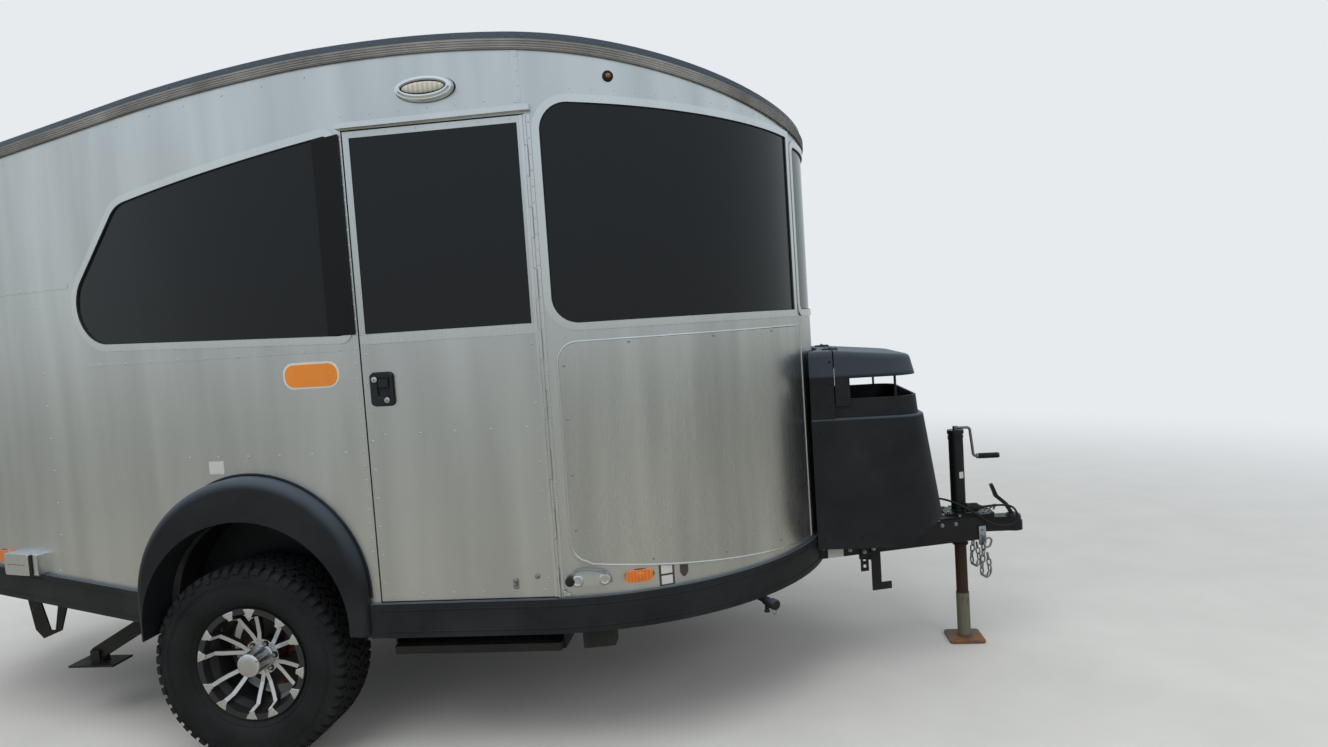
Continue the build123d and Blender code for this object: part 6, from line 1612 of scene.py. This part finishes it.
class CARAVAN_OT_services(Operator):
    """Service hatches on the left, roof gear, roof edge and step"""
    bl_idname = "caravan.services"
    bl_label = "Services and roof"

    def execute(self, context):
        self.left_side()
        self.rail_lines()
        self.roof_edge()
        self.air_unit()
        self.vent()
        self.step()
        self.stabilisers()
        return {"FINISHED"}

    def left_side(self):
        plates, dark, metal = Build(), Build(), Build()
        for x, z, width, height, slots in ((0.900, 0.860, 0.420, 0.220, 7), (0.900, 1.180, 0.420, 0.150, 5),
                                           (-0.640, 0.840, 0.360, 0.340, 0)):
            plates.plate(rectangle(x, z, width, height, 0.020), wall(0.0, 1), 0.010)
            plates.sweep(on_outline(rectangle(x, z, width - 0.03, height - 0.03, 0.014), wall(0.009, 1)),
                         bead(0.008, 0.004), True)
            ends = (x - width / 2 + 0.04, x + width / 2 - 0.04)
            for index in range(slots):
                slot_z = z - height / 2 + 0.030 + index * (height - 0.060) / max(1, slots - 1)
                plates.sweep([on_side(a, slot_z, 0.0095, 1) for a in ends],
                             [(0.0, -0.008), (0.0075, -0.006), (0.0015, 0.008)])
                dark.sweep([on_side(a, slot_z - 0.0095, 0.0103, 1) for a in ends], strip(0.005, 0.0006))
            for a, b in CORNERS:
                spot = on_side(x + a * (width / 2 - 0.016), z + b * (height / 2 - 0.016), 0.010, 1)
                metal.dome(spot, 0.0045, 0.0022, 10, 1)
        for x, z, radius in ((-0.330, 1.240, 0.055), (0.560, 0.700, 0.048), (0.260, 1.240, 0.050)):
            point, out = on_side(x, z, 0.0, 1)
            plates.spin([(radius, 0.0), (radius, 0.008), (radius - 0.005, 0.012), (radius - 0.012, 0.0125),
                         (radius - 0.014, 0.010), (radius * 0.62, 0.010), (radius * 0.60, 0.017),
                         (radius * 0.52, 0.020), (0.0, 0.021)], (point, out), 36)
            groove = ((0.66, 0.0104), (0.62, 0.0112), (0.60, 0.0104))
            dark.spin([(radius * share, lift) for share, lift in groove], (point, out), 36)
            for degrees in (45, 135, 225, 315):
                turn = math.radians(degrees)
                side = UP * math.cos(turn) + out.cross(UP) * math.sin(turn)
                metal.dome((point + side * (radius - 0.008) + out * 0.0118, out), 0.0032, 0.0016, 8, 1)
        plates.piece("service_hatches", white_moulding(), "white_plastic")
        dark.piece("service_hatch_slots", seal_rubber(), "black_plastic")
        metal.piece("service_hatch_screws", screw_steel(), "stainless")

    def rail_lines(self):
        """Two raised lines along the rub rail, broken at the arches, and plates at the flares' front ends."""
        lines, ends = Build(), Build()
        for height in (0.022, 0.098):
            for side in SIDES:
                for first, last in ((2.106, 0.500), (-0.402, -1.860)):
                    line = []
                    for x, y, nx, ny in PLAN:
                        if last <= x - AXLE_X <= first:
                            out = Vector((nx, -side * ny, 0.0))
                            line.append((Vector((x, -side * y, keel_z(x) + height)) + out * 0.0157, out))
                    lines.sweep(line, bead(0.007, 0.0030))
        lines.piece("rail_lines", seal_rubber(), "black_plastic")
        for side in SIDES:
            ends.plate(rectangle(0.4465, 0.460, 0.064, 0.0185, 0.002), wall(0.0, side), 0.010)
        ends.piece("rail_ends", black_plastic(), "black_plastic")

    def roof_edge(self):
        """Ribs round the roof trim from one back corner to the other, and screws on every third place."""
        ribs, screws = Build(), Build()
        plan = [place for place in PLAN if place[0] > TAIL_X + 0.075]

        def spot(place, depth, proud, side=1):
            x, y, nx, ny = place
            out = Vector((nx, side * ny, 0.0))
            return Vector((x, side * y, roof_z(x, depth))) + out * proud, out

        for depth in (0.0295, 0.0375, 0.0455, 0.0525):
            ribs.sweep([spot(place, depth, 0.0089) for place in reversed(plan)]
                       + [spot(place, depth, 0.0089, -1) for place in plan[1:]], bead(0.0042, 0.0022, 3))
        # Their rubber is painted lighter than the trim's, as a highlight.
        ribs.piece("roof_edge_ribs", rib_rubber_highlit(), "trim_rubber")
        for place in plan[2::3]:
            for side in (1, -1):
                screws.dome(spot(place, 0.012, 0.0, side), 0.0042, 0.002, 8, 1)
        blue_grey = painted("roof screws", (0.090, 0.105, 0.125), 0.4, 0.0, 0.0)
        screws.piece("roof_edge_screws", blue_grey, "stainless")

    def air_unit(self):
        low, high = [Vector(corner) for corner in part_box("air_conditioner")]
        slots = Build()
        for end, way in ((low.x, -1), (high.x, 1)):
            for row in range(5):
                z = (low.z + high.z) / 2 - 0.010 + row * 0.014
                for y in (-0.14, 0.0, 0.14):
                    if z <= high.z - 0.05:
                        slots.block((Vector((end - way * 0.030, y, z)), AHEAD * way),
                                    Vector((0.0, 0.055, 0.0)), UP * 0.003, 0.029)
        slots.piece("air_unit_slots", seal_rubber(), "white_plastic")

    def vent(self):
        low, high = [Vector(corner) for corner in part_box("roof_vent_lid")]
        ribs = Build()
        for share in (0.25, 0.5, 0.75):
            y = low.y + (high.y - low.y) * share
            ribs.sweep([(Vector((x, y, high.z - 0.0065)), UP)
                        for x in steps(low.x + 0.06, high.x - 0.06, 0.1)], bead(0.016, 0.006))
        ribs.piece("vent_lid_ribs", white_moulding(), "white_plastic", "vent_lid")

    def step(self):
        low, high = [Vector(corner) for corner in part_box("entry_step")]
        grip = Build()
        for row in range(9):
            y = low.y + 0.030 + row * 0.030
            grip.sweep([(Vector((x, y, high.z - 0.0003)), UP) for x in (low.x + 0.03, high.x - 0.03)],
                       strip(0.016, 0.0011))
        grip.piece("step_grip_strips", seal_rubber(), "tread_metal", "step")

    def stabilisers(self):
        bolts = Build()
        for side in SIDES:
            for way in (-1, 1):
                spot = (from_axle(-0.640, side * 0.640 + way * 0.0262, 0.425), Vector((0.0, way, 0.0)))
                bolts.spin([(0.012, 0.0), (0.012, 0.002), (0.010, 0.0025), (0.010, 0.009), (0.0, 0.010)],
                           spot, 6)
        bolts.piece("stabiliser_bolts", dull_zinc(), "stainless", angle=30.0)


# Camera, floor and light

class CARAVAN_OT_stage(Operator):
    """Camera at the photograph's place, pale floor, even daylight and soft lamps"""
    bl_idname = "caravan.stage"
    bl_label = "Stage"

    def execute(self, context):
        scene = context.scene
        settings = scene.caravan_stage
        scene.view_settings.view_transform = "Standard"
        self.camera(scene, settings)
        self.world(scene, settings)
        self.floor()
        for name, place, target, width, power in (
            ("overhead softbox", (-1.0, -3.0, 7.0), (0.0, 0.0, 0.8), 7.0, settings.lamp_power),
            ("front softbox", (5.5, -5.0, 4.0), (1.0, 0.0, 1.2), 3.0, settings.lamp_power * 0.25),
            ("far side softbox", (-4.0, 6.0, 5.0), (0.0, 0.0, 1.2), 4.0, settings.lamp_power * 0.35),
        ):
            lamp = bpy.data.lights.new(name, "AREA")
            lamp.shape = "DISK"
            lamp.size = width
            lamp.energy = power
            lamp.color = (1.0, 0.985, 0.96)
            holder = bpy.data.objects.new(name, lamp)
            holder.visible_glossy = False
            scene.collection.objects.link(holder)
            holder.location = place
            holder.rotation_euler = (Vector(target) - Vector(place)).to_track_quat("-Z", "Y").to_euler()
        return {"FINISHED"}

    def camera(self, scene, settings):
        yaw, pitch, roll = -0.1125, -0.0588, -0.0662
        right = Vector((math.cos(yaw), -math.sin(yaw), 0.0))
        ahead = Vector((math.sin(yaw) * math.cos(pitch), math.cos(yaw) * math.cos(pitch), math.sin(pitch)))
        up = right.cross(ahead)
        across = math.cos(roll) * right + math.sin(roll) * up
        upward = -math.sin(roll) * right + math.cos(roll) * up
        data = bpy.data.cameras.new("camera")
        data.sensor_width = 36.0
        data.lens = settings.lens
        camera = bpy.data.objects.new("camera", data)
        scene.collection.objects.link(camera)
        turn = Matrix((across, upward, -ahead)).transposed().to_4x4()
        camera.matrix_world = Matrix.Translation((1.8637 + AXLE_X, -3.7303, 1.4749)) @ turn
        scene.camera = camera

    def world(self, scene, settings):
        """Even light all round, a soft fade in what metal and glass mirror, and a plain backdrop."""
        world = bpy.data.worlds.new("pale room")
        scene.world = world
        world.use_nodes = True
        graph = Graph(world.node_tree)
        path = graph.add("ShaderNodeLightPath").outputs
        mirrored = graph.math("MAXIMUM", path["Is Glossy Ray"], path["Is Transmission Ray"])
        height = graph.axis("Z", graph.add("ShaderNodeTexCoord").outputs["Generated"])
        fade = graph.mix(graph.spread(height, 0.0, 0.50), (0.56, 0.61, 0.61), (0.70, 0.84, 0.98))
        shader = None
        for when, tone, strength in ((None, (0.95, 0.98, 1.0), settings.daylight), (mirrored, fade, 1.0),
                                     (path["Is Camera Ray"], BACKDROP, 1.0)):
            light = graph.add("ShaderNodeBackground", Color=tone, Strength=strength).outputs[0]
            if when is not None:
                both = graph.add("ShaderNodeMixShader")
                for socket, value in zip(both.inputs, (when, shader, light)):
                    graph.set(socket, value)
                light = both.outputs[0]
            shader = light
        graph.add("ShaderNodeOutputWorld", Surface=shader)

    def floor(self):
        def build(graph):
            direct = graph.add("ShaderNodeLightPath").outputs["Is Camera Ray"]
            near = graph.mix(graph.wander(0.0, 1.0, 3.0, 6.0, 0.6), (0.66, 0.66, 0.645), (0.71, 0.71, 0.695))
            away = graph.add("ShaderNodeVectorMath", {"operation": "LENGTH"}, Vector=graph.object_space())
            fade = graph.add("ShaderNodeMapRange", {"interpolation_type": "SMOOTHSTEP"},
                             Value=away.outputs["Value"], From_Min=3.4, From_Max=9.5).outputs[0]
            paper = graph.math("MULTIPLY", fade, direct)
            seen = graph.mix(fade, near, (0.0, 0.0, 0.0))
            return dict(
                Base_Color=graph.mix(direct, (0.37, 0.365, 0.318), seen),
                Emission_Color=BACKDROP,
                Emission_Strength=paper,
                Roughness=0.9,
                Specular_IOR_Level=graph.spread(paper, 0.0, 1.0, 0.15, 0.0),
            )
        reach, rings, sides = 60.0, 12, 48
        verts = [(0.0, 0.0, 0.0)]
        for ring in range(1, rings + 1):
            verts += [(x, y, 0.0) for x, y in circle(reach * (ring / rings) ** 2, sides)]
        faces = [(0, 1 + side, 1 + (side + 1) % sides) for side in range(sides)]
        for ring in range(rings - 1):
            for side in range(sides):
                a, b = 1 + ring * sides + side, 1 + ring * sides + (side + 1) % sides
                faces.append((a, a + sides, b + sides, b))
        mesh = bpy.data.meshes.new("floor")
        mesh.from_pydata(verts, [], faces)
        mesh.materials.append(finish("pale floor", build))
        floor = bpy.data.objects.new("floor", mesh)
        bpy.context.collection.objects.link(floor)
        floor.location.z = -0.001


class CARAVAN_PT_panel(Panel):
    """Sizes, colours and stage settings of the caravan, and a button for each group of pieces"""
    bl_idname = "CARAVAN_PT_panel"
    bl_label = "Travel caravan"
    bl_space_type = "VIEW_3D"
    bl_region_type = "UI"
    bl_category = "Caravan"

    def draw(self, context):
        layout = self.layout
        scene = context.scene
        for group in (scene.caravan_sizes, scene.caravan_colours, scene.caravan_stage):
            for name in group.__annotations__:
                layout.prop(group, name)
        for operator in OPERATORS:
            layout.operator(operator.bl_idname)


OPERATORS = (
    CARAVAN_OT_stage,
    CARAVAN_OT_finishes,
    CARAVAN_OT_sheetwork,
    CARAVAN_OT_wheels,
    CARAVAN_OT_fittings,
    CARAVAN_OT_tongue,
    CARAVAN_OT_services,
)
CLASSES = (CaravanSizes, CaravanColours, CaravanStage, *OPERATORS, CARAVAN_PT_panel)


def register():
    for item in CLASSES:
        bpy.utils.register_class(item)
    bpy.types.Scene.caravan_sizes = PointerProperty(type=CaravanSizes)
    bpy.types.Scene.caravan_colours = PointerProperty(type=CaravanColours)
    bpy.types.Scene.caravan_stage = PointerProperty(type=CaravanStage)


def unregister():
    for name in ("caravan_stage", "caravan_colours", "caravan_sizes"):
        delattr(bpy.types.Scene, name)
    for item in reversed(CLASSES):
        bpy.utils.unregister_class(item)


def main():
    register()
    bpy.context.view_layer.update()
    for operator in OPERATORS:
        group, name = operator.bl_idname.split(".")
        getattr(getattr(bpy.ops, group), name)()


if __name__ == "__main__":
    main()
